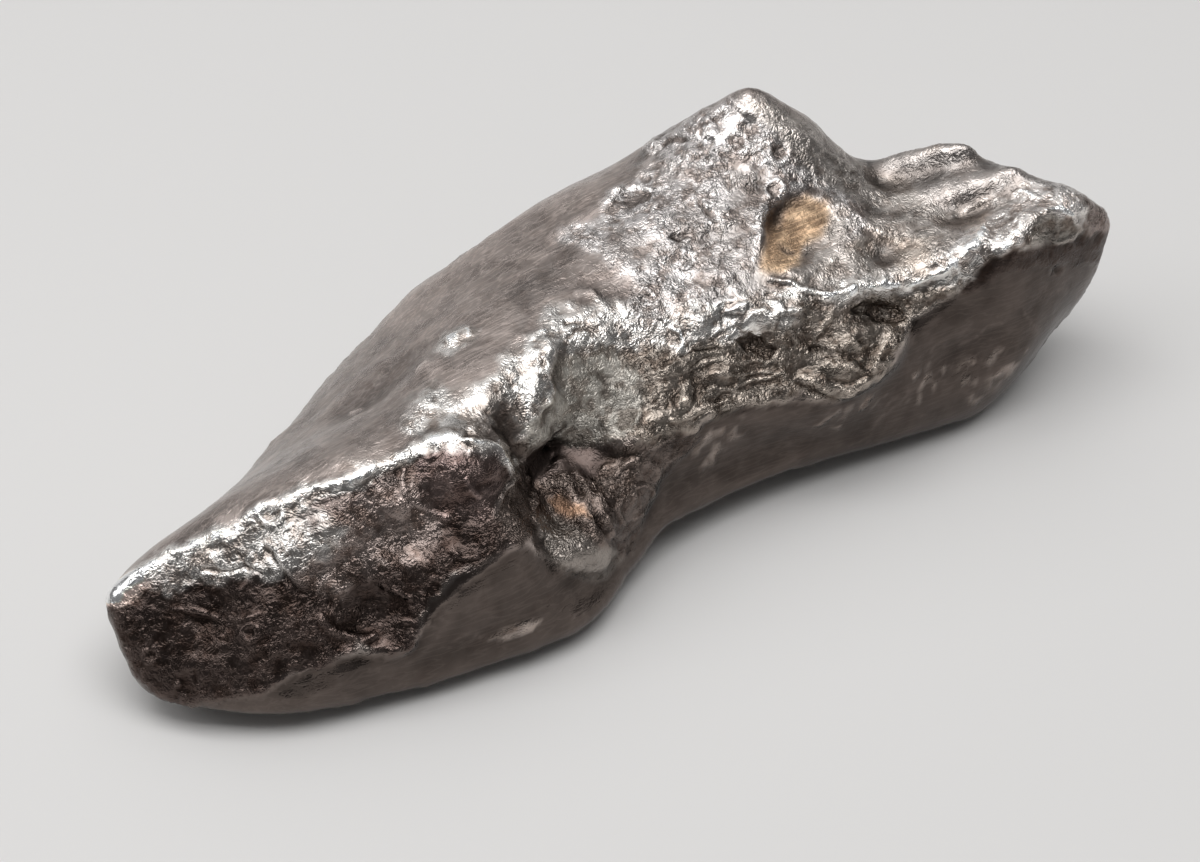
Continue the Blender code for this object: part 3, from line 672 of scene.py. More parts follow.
# Cracks, clefts and splits.
GROOVES = (
    groove("crack", 2.4, 0.35, ((663, 367), (675, 358), (692, 352), (706, 351), (720, 350))),
    groove("second crack", 1.8, 0.3, ((690, 367), (703, 359), (718, 357))),
    groove("gully", 6.5, 0.4, ((468, 432), (482, 428), (495, 431), (508, 440), (518, 452))),
    groove("cleft in the hook", 3.6, 0.34, ((838, 351), (848, 356), (857, 358), (866, 352))),
    groove("cleft left of the hook", 3.6, 0.3, ((812, 348), (826, 351), (834, 362))),
    groove("cleft under the hook", 3.6, 0.3, ((798, 384), (812, 392), (835, 397), (850, 396))),
    groove("slit", 2.2, 0.4, ((566, 322), (579, 321))),
    groove("step in the plateau", 2.8, 0.35, ((699, 203), (708, 212), (715, 224))),
    groove("edge under the plates", 2.6, 0.22, ((655, 155), (668, 141), (682, 139), (700, 144))),
    groove("split in the shoulder", 3.2, 0.25, ((266, 550), (277, 563), (286, 577), (302, 593))),
    groove("wrinkle of the shoulder", 2.2, 0.3, ((203, 569), (230, 570), (246, 565), (262, 573))),
    groove("short split", 2.2, 0.3, ((238, 552), (247, 567))),
    groove("cleft beside the tongue", 4.5, 0.4, ((570, 468), (583, 498), (596, 522), (613, 543))),
    groove("hollow of the arc", 2.2, 0.25, ((568, 336), (575, 329), (586, 328), (598, 332))),
)

# Hair-thin scratches of the polished flank, each with its brightening, partly rubbed and partly a
# painted highlight.
SCRATCHES = (
    scratch(1.6, ((888, 404), (900, 396), (912, 389))),
    scratch(1.3, ((872, 428), (888, 413), (902, 400), (930, 372))),
    scratch(1.3, ((1008, 274), (1025, 268), (1042, 262))),
    scratch(1.3, ((960, 345), (985, 330), (1004, 322))),
    scratch(1.4, ((505, 666), (512, 668), (520, 672))),
    scratch(1.4, ((580, 600), (583, 610), (586, 622))),
    scratch(1.2, ((1003, 296), (1022, 308), (1036, 330))),
    scratch(1.0, ((996, 348), (1010, 354), (1027, 351))),
    scratch(1.1, ((1040, 286), (1055, 293), (1070, 290))),
    scratch(1.2, ((958, 378), (974, 364), (993, 358))),
    scratch(1.3, ((903, 472), (913, 442), (921, 414))),
    scratch(1.0, ((1076, 298), (1083, 318), (1078, 342))),
    scratch(1.1, ((930, 352), (944, 340), (961, 334), (973, 322))),
    scratch(1.0, ((848, 446), (862, 440), (880, 443))),
    scratch(1.1, ((452, 642), (468, 633), (483, 637))),
    scratch(1.0, ((560, 642), (572, 628), (579, 612))),
    scratch(1.0, ((380, 690), (396, 686), (409, 689))),
)

# Small craters, rings and a bead.
CRATERS = (
    Crater("upper crater of the peak", (779, 153), 11.0, 0.26, 0.08),
    Crater("lower crater of the peak", (775, 189), 9.0, 0.24, 0.08),
    Crater("ring on the left brow", (270, 513), 12.0, 0.22, 0.18),
    Crater("ring on the plateau", (645, 179), 7.0, 0.14, 0.07),
    Crater("pit of the chisel end", (151, 655), 7.0, 0.22, 0.15),
    Crater("bead of the chisel end", (178, 683), 4.5, -0.35, 0.0),
    Crater("pit under the nose", (1056, 270), 6.0, 0.25, 0.1),
    Crater("loop on the shoulder", (250, 633), 8.0, 0.2, 0.15),
)


def ease(share: Array) -> Array:
    """Turns a share into one that runs from 0 to 1 and starts and ends gently."""
    share = np.clip(share, 0.0, 1.0)
    return share * share * (3.0 - 2.0 * share)


def rgba(colour: Colour) -> tuple[float, float, float, float]:
    """Adds a full alpha to a colour."""
    return (*colour, 1.0)


def lumpy(points: Array, pitch: float, start: Place = (0.0, 0.0, 0.0)) -> Array:
    """Gives smooth noise at points.

    Args:
        points: Places in millimetres, one to a row.
        pitch: The size of its lumps, in millimetres.
        start: Where the noise starts, so that two of them differ.

    Returns:
        A number from -1 to 1 for each point.
    """
    offset = Vector(start)
    return np.array([noise.noise(Vector(point / pitch) + offset) for point in points])


def vectors(mesh: bpy.types.Mesh, name: str) -> Array:
    """Reads a vector of each point of a mesh.

    Args:
        mesh: The mesh.
        name: The vector's name, such as co or normal.

    Returns:
        The vectors, one to a row.
    """
    values = np.empty(len(mesh.vertices) * 3, np.float32)
    mesh.vertices.foreach_get(name, values)
    return values.reshape(-1, 3).astype(float)


def joined(mesh: bpy.types.Mesh) -> Array:
    """Reads which points the edges of a mesh join.

    Args:
        mesh: The mesh.

    Returns:
        The two points of each edge, one edge to a row.
    """
    edges = np.empty(len(mesh.edges) * 2, np.int32)
    mesh.edges.foreach_get("vertices", edges)
    return edges.reshape(-1, 2)


def averaged(values: Array, edges: Array, rounds: int) -> Array:
    """Evens out values over the skin.

    Args:
        values: One row of numbers for each point.
        edges: The two points of each edge.
        rounds: How often each point is drawn halfway to its neighbours.

    Returns:
        The evened values.
    """
    count = np.maximum(np.bincount(edges.ravel(), minlength=len(values)), 1)[:, None]
    for _ in range(rounds):
        total = np.empty_like(values)
        for column in range(values.shape[1]):
            ends = values[edges[:, ::-1], column]
            total[:, column] = np.bincount(edges.ravel(), ends.ravel(), len(values))
        values = 0.5 * values + 0.5 * total / count
    return values


def outline_depth(pixels: Array, outline: Line) -> Array:
    """Measures how far inside an outline each pixel lies.

    Args:
        pixels: The pixels, one to a row.
        outline: The corners of the outline, in order.

    Returns:
        The distance to the outline in pixels, which is negative outside it.
    """
    corners = np.asarray(outline, float)
    distance = np.full(len(pixels), np.inf)
    inside = np.zeros(len(pixels), bool)
    x, y = pixels[:, 0], pixels[:, 1]
    for start, end in zip(corners, np.roll(corners, -1, axis=0)):
        run = end - start
        share = np.clip((pixels - start) @ run / (run @ run), 0.0, 1.0)
        gap = np.hypot(x - start[0] - share * run[0], y - start[1] - share * run[1])
        distance = np.minimum(distance, gap)
        if run[1] != 0.0:
            crosses = (start[1] > y) != (end[1] > y)
            inside ^= crosses & (x < start[0] + (y - start[1]) * run[0] / run[1])
    return np.where(inside, distance, -distance)


def filled(pixels: Array, outline: Line, border: float) -> Array:
    """Gives a share from 0 outside an outline to 1 inside it, eased over a border astride it."""
    return ease(outline_depth(pixels, outline) / border + 0.5)


def line_distance(pixels: Array, points: Line) -> tuple[Array, Array]:
    """Measures the distance of pixels from a line.

    Args:
        pixels: The pixels, one to a row.
        points: The points of the line, in order.

    Returns:
        The distance of each pixel, and the side of the line that it lies on, as 1 or -1.
    """
    line = np.asarray(points, float)
    distance = np.full(len(pixels), np.inf)
    side = np.ones(len(pixels))
    for start, end in zip(line, line[1:]):
        run = end - start
        offset = pixels - start
        share = np.clip(offset @ run / (run @ run), 0.0, 1.0)
        gap = np.linalg.norm(offset - share[:, None] * run, axis=1)
        nearer = gap < distance
        turn = np.where(offset[:, 0] * run[1] - offset[:, 1] * run[0] > 0.0, 1.0, -1.0)
        side = np.where(nearer, turn, side)
        distance = np.where(nearer, gap, distance)
    return distance, side


@dataclass(frozen=True)
class Ramp:
    """A number that runs from start to end as another runs from low to high."""

    low: float
    high: float
    start: float
    end: float


class Tree:
    """Builds a node tree, one node at a time."""

    BOWL_STEEPNESS = 2.6
    BOWL_CREST = 1.4
    WORM_ROUGHNESS = 0.55

    def __init__(self, tree: Any) -> None:
        """Takes the tree that the nodes go into."""
        self.tree = tree

    def node(self, kind: str, inputs: dict[Any, Any] | None = None, **settings: Any) -> Any:
        """Adds a node.

        Args:
            kind: The node's type.
            inputs: For each input, by its name or number, a value or the socket that feeds it.
            settings: The node's own settings.

        Returns:
            The node.
        """
        node = self.tree.nodes.new(kind)
        for name, value in settings.items():
            setattr(node, name, value)
        for key, value in (inputs or {}).items():
            self.feed(node.inputs[key], value)
        return node

    def feed(self, socket: Any, value: Any) -> None:
        """Gives an input its value.

        Args:
            socket: The input.
            value: A value, or the socket that feeds the input.
        """
        if isinstance(value, bpy.types.NodeSocket):
            self.tree.links.new(value, socket)
        else:
            socket.default_value = value

    def math(self, operation: str, *values: Any) -> Any:
        """Adds a sum of numbers and gives its result."""
        inputs = dict(enumerate(values))
        return self.node("ShaderNodeMath", inputs, operation=operation).outputs[0]

    def vector(self, operation: str, *values: Any) -> Any:
        """Adds a sum of vectors and gives its result."""
        inputs = dict(enumerate(values))
        return self.node("ShaderNodeVectorMath", inputs, operation=operation).outputs[0]

    def plus(self, first: Any, second: Any) -> Any:
        """Gives the sum of two numbers."""
        return self.math("ADD", first, second)

    def minus(self, first: Any, second: Any) -> Any:
        """Gives one number less another."""
        return self.math("SUBTRACT", first, second)

    def times(self, first: Any, second: Any) -> Any:
        """Gives the product of two numbers."""
        return self.math("MULTIPLY", first, second)

    def scaled(self, vector: Any, by: Any) -> Any:
        """Gives a vector times a number."""
        inputs = {0: vector, "Scale": by}
        return self.node("ShaderNodeVectorMath", inputs, operation="SCALE").outputs[0]

    def scale(self, pitch: Any) -> Any:
        """Gives the scale of a pattern whose parts lie a pitch apart."""
        return self.math("DIVIDE", 1.0, pitch)

    def stretched(self, place: Any, length: Any, pitch: Any) -> Any:
        """Gives a place for a pattern that is long along X and narrow across it."""
        size = self.node("ShaderNodeCombineXYZ", {0: length, 1: pitch, 2: pitch}).outputs[0]
        return self.vector("DIVIDE", place, size)

    def remap(self, value: Any, ramp: Ramp) -> Any:
        """Gives a number that follows a ramp."""
        inputs = {"Value": value, 1: ramp.low, 2: ramp.high, 3: ramp.start, 4: ramp.end}
        return self.node("ShaderNodeMapRange", inputs).outputs["Result"]

    def noise(self, place: Any, detail: float, pitch: Any = 1.0, roughness: float = 0.5) -> Any:
        """Gives smooth noise.

        Args:
            place: Where it is read.
            detail: How many finer layers it has.
            pitch: The size of its lumps.
            roughness: How strong the finer layers are.

        Returns:
            A number from 0 to 1.
        """
        inputs = {"Vector": place, "Scale": self.scale(pitch), "Detail": detail}
        inputs["Roughness"] = roughness
        return self.node("ShaderNodeTexNoise", inputs, normalize=True).outputs[0]

    def drift(self, place: Any, pitch: Any) -> Any:
        """Gives a vector of smooth noise, each of its parts from 0 to 1."""
        inputs = {"Vector": place, "Scale": self.scale(pitch), "Detail": 1.0}
        return self.node("ShaderNodeTexNoise", inputs).outputs["Color"]

    def worms(self, place: Any, detail: float, sharpness: float, pitch: Any = 1.0) -> Any:
        """Gives winding ridges.

        Args:
            place: Where they are read.
            detail: How many finer layers they have.
            sharpness: How narrow they are.
            pitch: How far apart they lie.

        Returns:
            A number that is 1 on their crests and 0 between them.
        """
        smooth = self.noise(place, detail, pitch, self.WORM_ROUGHNESS)
        off = self.times(self.math("ABSOLUTE", self.minus(smooth, MIDDLE)), sharpness)
        return self.minus(1.0, self.math("MINIMUM", off, 1.0))

    def cells(self, place: Any, pitch: Any) -> Any:
        """Gives the distance from the middle of the nearest of many scattered cells."""
        inputs = {"Vector": place, "Scale": self.scale(pitch), "Randomness": 1.0}
        return self.node("ShaderNodeTexVoronoi", inputs).outputs["Distance"]

    def bowls(self, place: Any, pitch: Any) -> Any:
        """Gives packed bowls with sharp crests between them.

        Args:
            place: Where they are read.
            pitch: How far apart they lie.

        Returns:
            A number that is 0 at their floors and more on the crests.
        """
        cell = self.cells(place, pitch)
        rise = self.times(self.times(cell, cell), self.BOWL_STEEPNESS)
        return self.math("MINIMUM", rise, self.BOWL_CREST)


@dataclass(frozen=True)
class Grain:
    """The metal's own relief, carved by a Geometry Nodes tree. All sizes are in millimetres.

    A height is what its noise gives from 0 to 1, of which only the middle is often reached. Each
    plain number is an input of the tree, by the same name.
    """

    seed: float = 3.7
    warp: float = 0.9
    warp_pitch: float = 1.6
    dimple_depth: float = 0.14
    dimple_pitch: float = 2.1
    fine_dimple_depth: float = 0.08
    fine_dimple_pitch: float = 0.80
    pit_depth: float = 0.20
    pit_pitch: float = 2.1
    pit_share: float = 0.1
    layer_height: float = 1.0
    layer_length: float = 4.6
    layer_pitch: float = 1.5
    flow_height: float = 0.06
    flow_length: float = 9.0
    flow_pitch: float = 1.8
    swell_height: float = 0.68
    swell_pitch: float = 4.2
    patch_pitch: float = 3.4
    patchy: Ramp = Ramp(0.36, 0.62, 0.15, 1.0)
    pit_wall: Ramp = Ramp(0.0, 0.36, 1.0, 0.0)
    swell_by_grain: Ramp = Ramp(0.1, 0.8, 0.25, 1.0)

    def sizes(self) -> dict[str, float]:
        """Lists the numbers that the tree takes as its inputs.

        Returns:
            The value of each input, by its name.
        """
        own = {item.name: getattr(self, item.name) for item in fields(self)}
        return {name: value for name, value in own.items() if isinstance(value, float)}

    def carve(self, skin: bpy.types.Object, material: bpy.types.Material) -> bpy.types.Mesh:
        """Lifts the skin by its grain.

        Args:
            skin: The object whose mesh carries the amounts of grain as attributes.
            material: The finish that the carved mesh gets.

        Returns:
            The carved mesh.
        """
        sizes = self.sizes()
        modifier = skin.modifiers.new("grain", "NODES")
        modifier.node_group = self.group(material)
        for socket in modifier.node_group.interface.items_tree:
            if socket.name in sizes:
                modifier[socket.identifier] = sizes[socket.name]
        graph = bpy.context.evaluated_depsgraph_get()
        carved = bpy.data.meshes.new_from_object(
            skin.evaluated_get(graph), preserve_all_data_layers=True, depsgraph=graph
        )
        skin.modifiers.remove(modifier)
        return carved

    def group(self, material: bpy.types.Material) -> Any:
        """Builds the tree that moves each point along the way it faces.

        Args:
            material: The finish that it sets.

        Returns:
            The tree, with an input for each of the sizes.
        """
        group = bpy.data.node_groups.new("grain of the iron", "GeometryNodeTree")
        group.interface.new_socket("Geometry", in_out="INPUT", socket_type="NodeSocketGeometry")
        for name in self.sizes():
            group.interface.new_socket(name, in_out="INPUT", socket_type="NodeSocketFloat")
        group.interface.new_socket("Geometry", in_out="OUTPUT", socket_type="NodeSocketGeometry")
        tree = Tree(group)
        size = tree.node("NodeGroupInput").outputs
        place = tree.scaled(tree.node("GeometryNodeInputPosition").outputs[0], 1.0 / MM)
        place = tree.vector("ADD", place, tree.scaled((1.0, 2.0, 3.0), size["seed"]))
        lift = tree.times(self.height(tree, place, size), MM)
        offset = tree.scaled(tree.node("GeometryNodeInputNormal").outputs[0], lift)
        moved = {"Geometry": size["Geometry"], "Offset": offset}
        carved = tree.node("GeometryNodeSetPosition", moved).outputs[0]
        whole = tree.node("GeometryNodeRealizeInstances", {0: carved}).outputs[0]
        dressed = tree.node("GeometryNodeSetMaterial", {"Geometry": whole, "Material": material})
        tree.node("NodeGroupOutput", {0: dressed.outputs[0]})
        return group

    def height(self, tree: Tree, place: Any, size: Any) -> Any:
        """Adds up the kinds of relief, each by the amount that its attribute gives.

        Args:
            tree: The tree that the nodes go into.
            place: The socket of the point's place, in millimetres.
            size: The sockets of the tree's inputs.

        Returns:
            The socket of the height, in millimetres.
        """
        grain, layers, flow, pits = (
            self.amount(tree, name) for name in ("grain", "layers", "flow", "pits")
        )
        shift = tree.vector("SUBTRACT", tree.drift(place, size["warp_pitch"]), (MIDDLE,) * 3)
        warped = tree.scaled(shift, tree.times(size["warp"], 2.0))
        warped = tree.vector("ADD", place, warped)
        patchy = tree.remap(tree.noise(warped, detail=1.0, pitch=size["patch_pitch"]), self.patchy)
        broken = tree.times(grain, patchy)
        layered = tree.stretched(warped, size["layer_length"], size["layer_pitch"])
        streamed = tree.stretched(place, size["flow_length"], size["flow_pitch"])
        fine = tree.bowls(warped, size["fine_dimple_pitch"])
        sunk = tree.remap(tree.cells(warped, size["pit_pitch"]), self.pit_wall)
        swell = tree.minus(tree.noise(place, detail=2.0, pitch=size["swell_pitch"]), MIDDLE)
        swell = tree.times(swell, tree.remap(grain, self.swell_by_grain))
        total = tree.times(swell, size["swell_height"])
        kinds = (
            (tree.minus(tree.bowls(warped, size["dimple_pitch"]), MIDDLE), "dimple_depth", broken),
            (tree.minus(fine, MIDDLE), "fine_dimple_depth", broken),
            (tree.minus(tree.noise(layered, detail=2.0), MIDDLE), "layer_height", layers),
            (tree.minus(tree.noise(streamed, detail=1.0), MIDDLE), "flow_height", flow),
            (tree.minus(size["pit_share"], sunk), "pit_depth", pits),
        )
        for pattern, name, amount in kinds:
            level = tree.times(pattern, size[name])
            total = tree.plus(total, tree.times(level, amount))
        return total

    def amount(self, tree: Tree, name: str) -> Any:
        """Reads the amount of a kind of grain at each point."""
        node = tree.node("GeometryNodeInputNamedAttribute", {"Name": name}, data_type="FLOAT")
        return node.outputs["Attribute"]


@dataclass(frozen=True)
class Iron:
    """The finish of bare, weathered and rubbed iron. Pitches and the bump are in millimetres.

    Gains say how far a pattern changes the brightness or, where it is named so, the roughness.
    The painted relief shade gain paints shade into the hollows and light onto the crests, and the
    painted highlight gain paints highlights along the creases.
    """

    fine_pitch: float = 0.52
    fine_sharpness: float = 3.0
    crinkle_pitch: float = 2.4
    crinkled: Ramp = Ramp(0.38, 0.60, 0.35, 1.15)
    dust_pitch: float = 0.18
    dust_share: float = 0.16
    least_dust: float = 0.03
    layer_length: float = 2.2
    flow_length: float = 5.0
    line_pitch: float = 0.6
    line_sharpness: float = 16.0
    flow_height: float = 0.25
    line_depth: float = 0.06
    warp: float = 1.2
    warp_pitch: float = 1.1
    bump: float = 0.13
    # Painted shade in the hollows and painted light on the crests, by the crest attribute.
    painted_relief_shade_gain: float = 1.0
    # How far the creases' rubbing and painted highlights brighten the colour.
    rubbing_and_painted_highlight_gain: float = 0.35
    blotch_pitch: float = 3.2
    blotch_gain: float = 1.1
    scratch_gain: float = 0.45
    least_light: float = 0.2
    stain: Colour = (0.50, 0.43, 0.39)
    stain_pitch: float = 1.7
    stained: Ramp = Ramp(0.18, 0.38, 0.0, 0.85)
    clean_crest: float = 0.5
    least_stain: float = 0.1
    rubbed_roughness: float = -0.08
    blotch_roughness: float = 0.15
    least_roughness: float = 0.12

    def make(self) -> bpy.types.Material:
        """Builds the material.

        Returns:
            The material, which reads the skin's attributes.
        """
        material = bpy.data.materials.new("weathered iron")
        material.use_nodes = True
        tree = Tree(material.node_tree)
        names = (*TONE_AMOUNTS, "rubbing_and_painted_highlight", "crest")
        amount = {name: self.attribute(tree, name).outputs["Fac"] for name in names}
        place = tree.scaled(tree.node("ShaderNodeTexCoord").outputs["Object"], 1.0 / MM)
        shift = tree.scaled(tree.drift(place, self.warp_pitch), self.warp)
        warped = tree.vector("ADD", place, shift)
        streamed = tree.stretched(place, self.flow_length, self.line_pitch)
        lines = tree.worms(streamed, detail=1.5, sharpness=self.line_sharpness)
        blotch = tree.minus(tree.noise(place, detail=3.0, pitch=self.blotch_pitch), MIDDLE)
        # Painted light: crests lighter and hollows darker, plus the creases' painted highlights.
        # The rubbed places also get smoother.
        rubbing_and_painted_light = tree.times(tree.minus(amount["crest"], MIDDLE), self.painted_relief_shade_gain)
        rubbing_and_painted_light = tree.plus(rubbing_and_painted_light, tree.times(amount["rubbing_and_painted_highlight"], self.rubbing_and_painted_highlight_gain))
        lit = tree.plus(tree.times(blotch, self.blotch_gain), rubbing_and_painted_light)
        scratched = tree.times(tree.times(lines, amount["flow"]), self.scratch_gain)
        lit = tree.plus(tree.plus(lit, scratched), 1.0)
        lit = tree.math("MAXIMUM", lit, self.least_light)
        flow = tree.noise(streamed, detail=3.0)
        streaks = tree.minus(tree.times(flow, self.flow_height), tree.times(lines, self.line_depth))
        shader = material.node_tree.nodes["Principled BSDF"].inputs
        tree.feed(shader["Base Color"], tree.scaled(self.colour(tree, warped, amount), lit))
        tree.feed(shader["Roughness"], self.roughness(tree, blotch, rubbing_and_painted_light, amount))
        tree.feed(shader["Metallic"], tree.minus(1.0, amount["rust"]))
        tree.feed(shader["Normal"], self.normal(tree, place, warped, streaks, amount))
        return material

    def normal(
        self, tree: Tree, place: Any, warped: Any, streaks: Any, amount: dict[str, Any]
    ) -> Any:
        """Builds the finest relief, which is too small for the mesh.

        Args:
            tree: The tree that the nodes go into.
            place: The socket of the place, in millimetres.
            warped: The same, shifted by noise.
            streaks: The socket of the flow lines' height.
            amount: The sockets of the skin's attributes, by their names.

        Returns:
            The socket of the bumped normal.
        """
        fine = tree.worms(warped, detail=2.0, sharpness=self.fine_sharpness, pitch=self.fine_pitch)
        crinkled = tree.noise(warped, detail=1.0, pitch=self.crinkle_pitch)
        crinkled = tree.remap(crinkled, self.crinkled)
        layers = tree.noise(tree.stretched(place, self.layer_length, self.line_pitch), detail=3.0)
        height = tree.times(tree.times(fine, crinkled), amount["fine"])
        height = tree.plus(height, tree.times(layers, amount["layers"]))
        height = tree.plus(height, tree.times(streaks, amount["flow"]))
        dusty = tree.plus(tree.times(amount["fine"], self.dust_share), self.least_dust)
        dust = tree.noise(place, detail=2.0, pitch=self.dust_pitch)
        height = tree.plus(height, tree.times(dust, dusty))
        inputs = {"Height": height, "Distance": self.bump * MM, "Strength": 1.0}
        return tree.node("ShaderNodeBump", inputs).outputs[0]

    def colour(self, tree: Tree, warped: Any, amount: dict[str, Any]) -> Any:
        """Stains the skin's own colour in its hollows.

        Args:
            tree: The tree that the nodes go into.
            warped: The socket of the shifted place, in millimetres.
            amount: The sockets of the skin's attributes, by their names.

        Returns:
            The socket of the colour.
        """
        tint = self.attribute(tree, "tint").outputs["Color"]
        crest = tree.times(amount["crest"], self.clean_crest)
        sunk = tree.minus(tree.noise(warped, detail=3.0, pitch=self.stain_pitch), crest)
        grainy = tree.math("MINIMUM", tree.plus(amount["grain"], self.least_stain), 1.0)
        share = tree.times(tree.remap(sunk, self.stained), grainy)
        inputs = {"Factor": share, 6: tint, 7: tree.vector("MULTIPLY", tint, self.stain)}
        return tree.node("ShaderNodeMix", inputs, data_type="RGBA").outputs[2]

    def roughness(self, tree: Tree, blotch: Any, rubbing_and_painted_light: Any, amount: dict[str, Any]) -> Any:
        """Makes the rubbed places smoother, and the rest uneven.

        Args:
            tree: The tree that the nodes go into.
            blotch: The socket of the blotches.
            rubbing_and_painted_light: The socket of the rubbing and painted light, used here only
                to smooth the rubbed places.
            amount: The sockets of the skin's attributes, by their names.

        Returns:
            The socket of the roughness.
        """
        rough = tree.plus(amount["roughness"], tree.times(rubbing_and_painted_light, self.rubbed_roughness))
        rough = tree.plus(rough, tree.times(blotch, self.blotch_roughness))
        return tree.math("MAXIMUM", rough, self.least_roughness)

    def attribute(self, tree: Tree, name: str) -> Any:
        """Adds the node that reads one of the skin's attributes."""
        return tree.node("ShaderNodeAttribute", attribute_name=name)


@dataclass
class Skin:
    """The lump's skin while it is worked, as arrays over its points.

    Seen is how well the photograph sees a point, from 0 to 1. Ragged is a small shift of its
    pixel, and uneven makes a shape stronger in one place than in another. Margins and feathers
    are in pixels, pitches in millimetres, and widths are shares of a shape's own width. Each
    wobble has a pitch, and a size in pixels.
    """

    mesh: bpy.types.Mesh
    photograph: Photograph
    seen_from: float = -0.02
    seen_run: float = 0.2
    uneven_pitch: float = 1.3
    uneven_mean: float = 0.85
    uneven_swing: float = 0.75
    wobbles: tuple[tuple[float, float], ...] = ((3.4, 2.0), (1.1, 1.0))
    wobble_start: tuple[float, float] = (17.0, 5.0)
    calm_feather: float = 16.0
    calm_margin: float = 12.0
    patch_margin: float = 8.0
    crease_margin: float = 6.0
    gentle_width: float = 1.6
    steep_width: float = 0.35
    rubbing_and_painted_highlight_width: float = 1.3
    rim_width: float = 0.45
    wall_start: float = 0.95
    wall_width: float = 0.6
    zone_margin: float = 10.0
    broken_run: float = 0.3
    mottle_pitch: float = 9.0
    mottle_run: float = 0.5
    mottle_middle: float = 0.65
    mottle_start: Place = (3.0, 1.0, 2.0)
    smooth_light: float = 0.75
    # Painted shade of the belly: the share of the tint left where the skin faces down, and how it
    # fades in.
    belly_light: float = 0.45
    belly_facing: float = -0.2
    belly_run: float = 0.7
    points: Array = field(init=False)
    facings: Array = field(init=False)
    pixels: Array = field(init=False)
    seen: Array = field(init=False)
    ragged: Array = field(init=False)
    uneven: Array = field(init=False)
    rubbing_and_painted_highlight: Array = field(init=False)

    def __post_init__(self) -> None:
        """Reads the mesh."""
        self.points = vectors(self.mesh, "co") / MM
        self.facings = vectors(self.mesh, "normal")
        self.pixels = self.photograph.pixels(self.points)
        towards = np.array(self.photograph.eye()) - self.points
        towards /= np.linalg.norm(towards, axis=1)[:, None]
        facing = np.sum(self.facings * towards, axis=1)
        self.seen = ease((facing - self.seen_from) / self.seen_run)
        self.ragged = self.wobble()
        self.uneven = self.uneven_mean + self.uneven_swing * lumpy(self.points, self.uneven_pitch)
        self.rubbing_and_painted_highlight = np.zeros(len(self.points))

    def wobble(self) -> Array:
        """Gives each point a small shift of its pixel, so that no edge runs straight.

        Returns:
            The shifts in pixels, one to a row.
        """
        shift = np.zeros((len(self.points), 2))
        for pitch, size in self.wobbles:
            for axis in (0, 1):
                start = (self.wobble_start[0] * axis, self.wobble_start[1], pitch)
                shift[:, axis] += size * lumpy(self.points, pitch, start)
        return shift

    def near(self, shape: Line, reach: float, ragged: float) -> tuple[Array, Array]:
        """Finds the points whose pixels lie near a shape.

        Args:
            shape: The shape's own pixels.
            reach: How far round its box to look, in pixels.
            ragged: How much of their wobble the pixels get.

        Returns:
            The numbers of those points, and their shifted pixels.
        """
        corners = np.asarray(shape, float)
        low, high = corners.min(axis=0) - reach, corners.max(axis=0) + reach
        close = np.all((self.pixels > low) & (self.pixels < high), axis=1) & (self.seen > 0.0)
        chosen = np.nonzero(close)[0]
        return chosen, self.pixels[chosen] + self.ragged[chosen] * ragged

    def lift(self, chosen: Any, height: Array) -> None:
        """Moves points along the way they face."""
        self.points[chosen] += height[:, None] * self.facings[chosen]

    def bulge(self, bulge: Bulge) -> None:
        """Swells the form round a place, and finds its pixels again.

        Args:
            bulge: The swelling.
        """
        away = np.linalg.norm(self.points - np.asarray(bulge.centre), axis=1)
        self.lift(slice(None), bulge.rise * ease(1.0 - away / bulge.radius))
        self.pixels = self.photograph.pixels(self.points)

    def calm(self, calm: Calm) -> None:
        """Softens the form inside an outline.

        Args:
            calm: The part of the skin that is softened.
        """
        chosen, pixels = self.near(calm.outline, self.calm_margin, 0.0)
        share = filled(pixels, calm.outline, self.calm_feather) * self.seen[chosen]
        soft = averaged(self.points, joined(self.mesh), calm.rounds)
        self.points[chosen] += (soft[chosen] - self.points[chosen]) * share[:, None]

    def patch(self, patch: Patch) -> None:
        """Raises or sinks a patch.

        Args:
            patch: The patch.
        """
        chosen, pixels = self.near(patch.outline, patch.edge + self.patch_margin, patch.ragged)
        share = filled(pixels, patch.outline, patch.edge)
        self.lift(chosen, patch.rise * share * self.seen[chosen])

    def crease(self, crease: Crease) -> None:
        """Raises a crest or cuts a groove, and notes how much it is rubbed bright and painted with
        a highlight.

        Args:
            crease: The crest or groove.
        """
        reach = crease.width * 2.0 + self.crease_margin
        chosen, pixels = self.near(crease.points, reach, crease.ragged)
        distance, side = line_distance(pixels, crease.points)
        steep = (crease.side is not Side.BOTH) & (side != crease.side.value)
        width = crease.width * np.where(steep, self.steep_width, self.gentle_width)
        strength = self.seen[chosen] * self.uneven[chosen]
        self.lift(chosen, crease.rise * ease(1.0 - distance / width) * strength)
        # Rubbed iron and a painted highlight along the crease.
        bright = crease.rubbing_and_painted_highlight * ease(1.0 - distance / (crease.width * self.rubbing_and_painted_highlight_width))
        self.rubbing_and_painted_highlight[chosen] = np.maximum(self.rubbing_and_painted_highlight[chosen], bright * strength)

    def crater(self, crater: Crater) -> None:
        """Sinks a small pit with a rim.

        Args:
            crater: The pit.
        """
        chosen, pixels = self.near((crater.centre,), crater.radius * 2.0, 1.0)
        radius = np.linalg.norm(pixels - np.asarray(crater.centre), axis=1) / crater.radius
        height = crater.rim * ease(1.0 - np.abs(radius - 1.0) / self.rim_width)
        height -= crater.depth * ease((self.wall_start - radius) / self.wall_width)
        self.lift(chosen, height * self.seen[chosen])

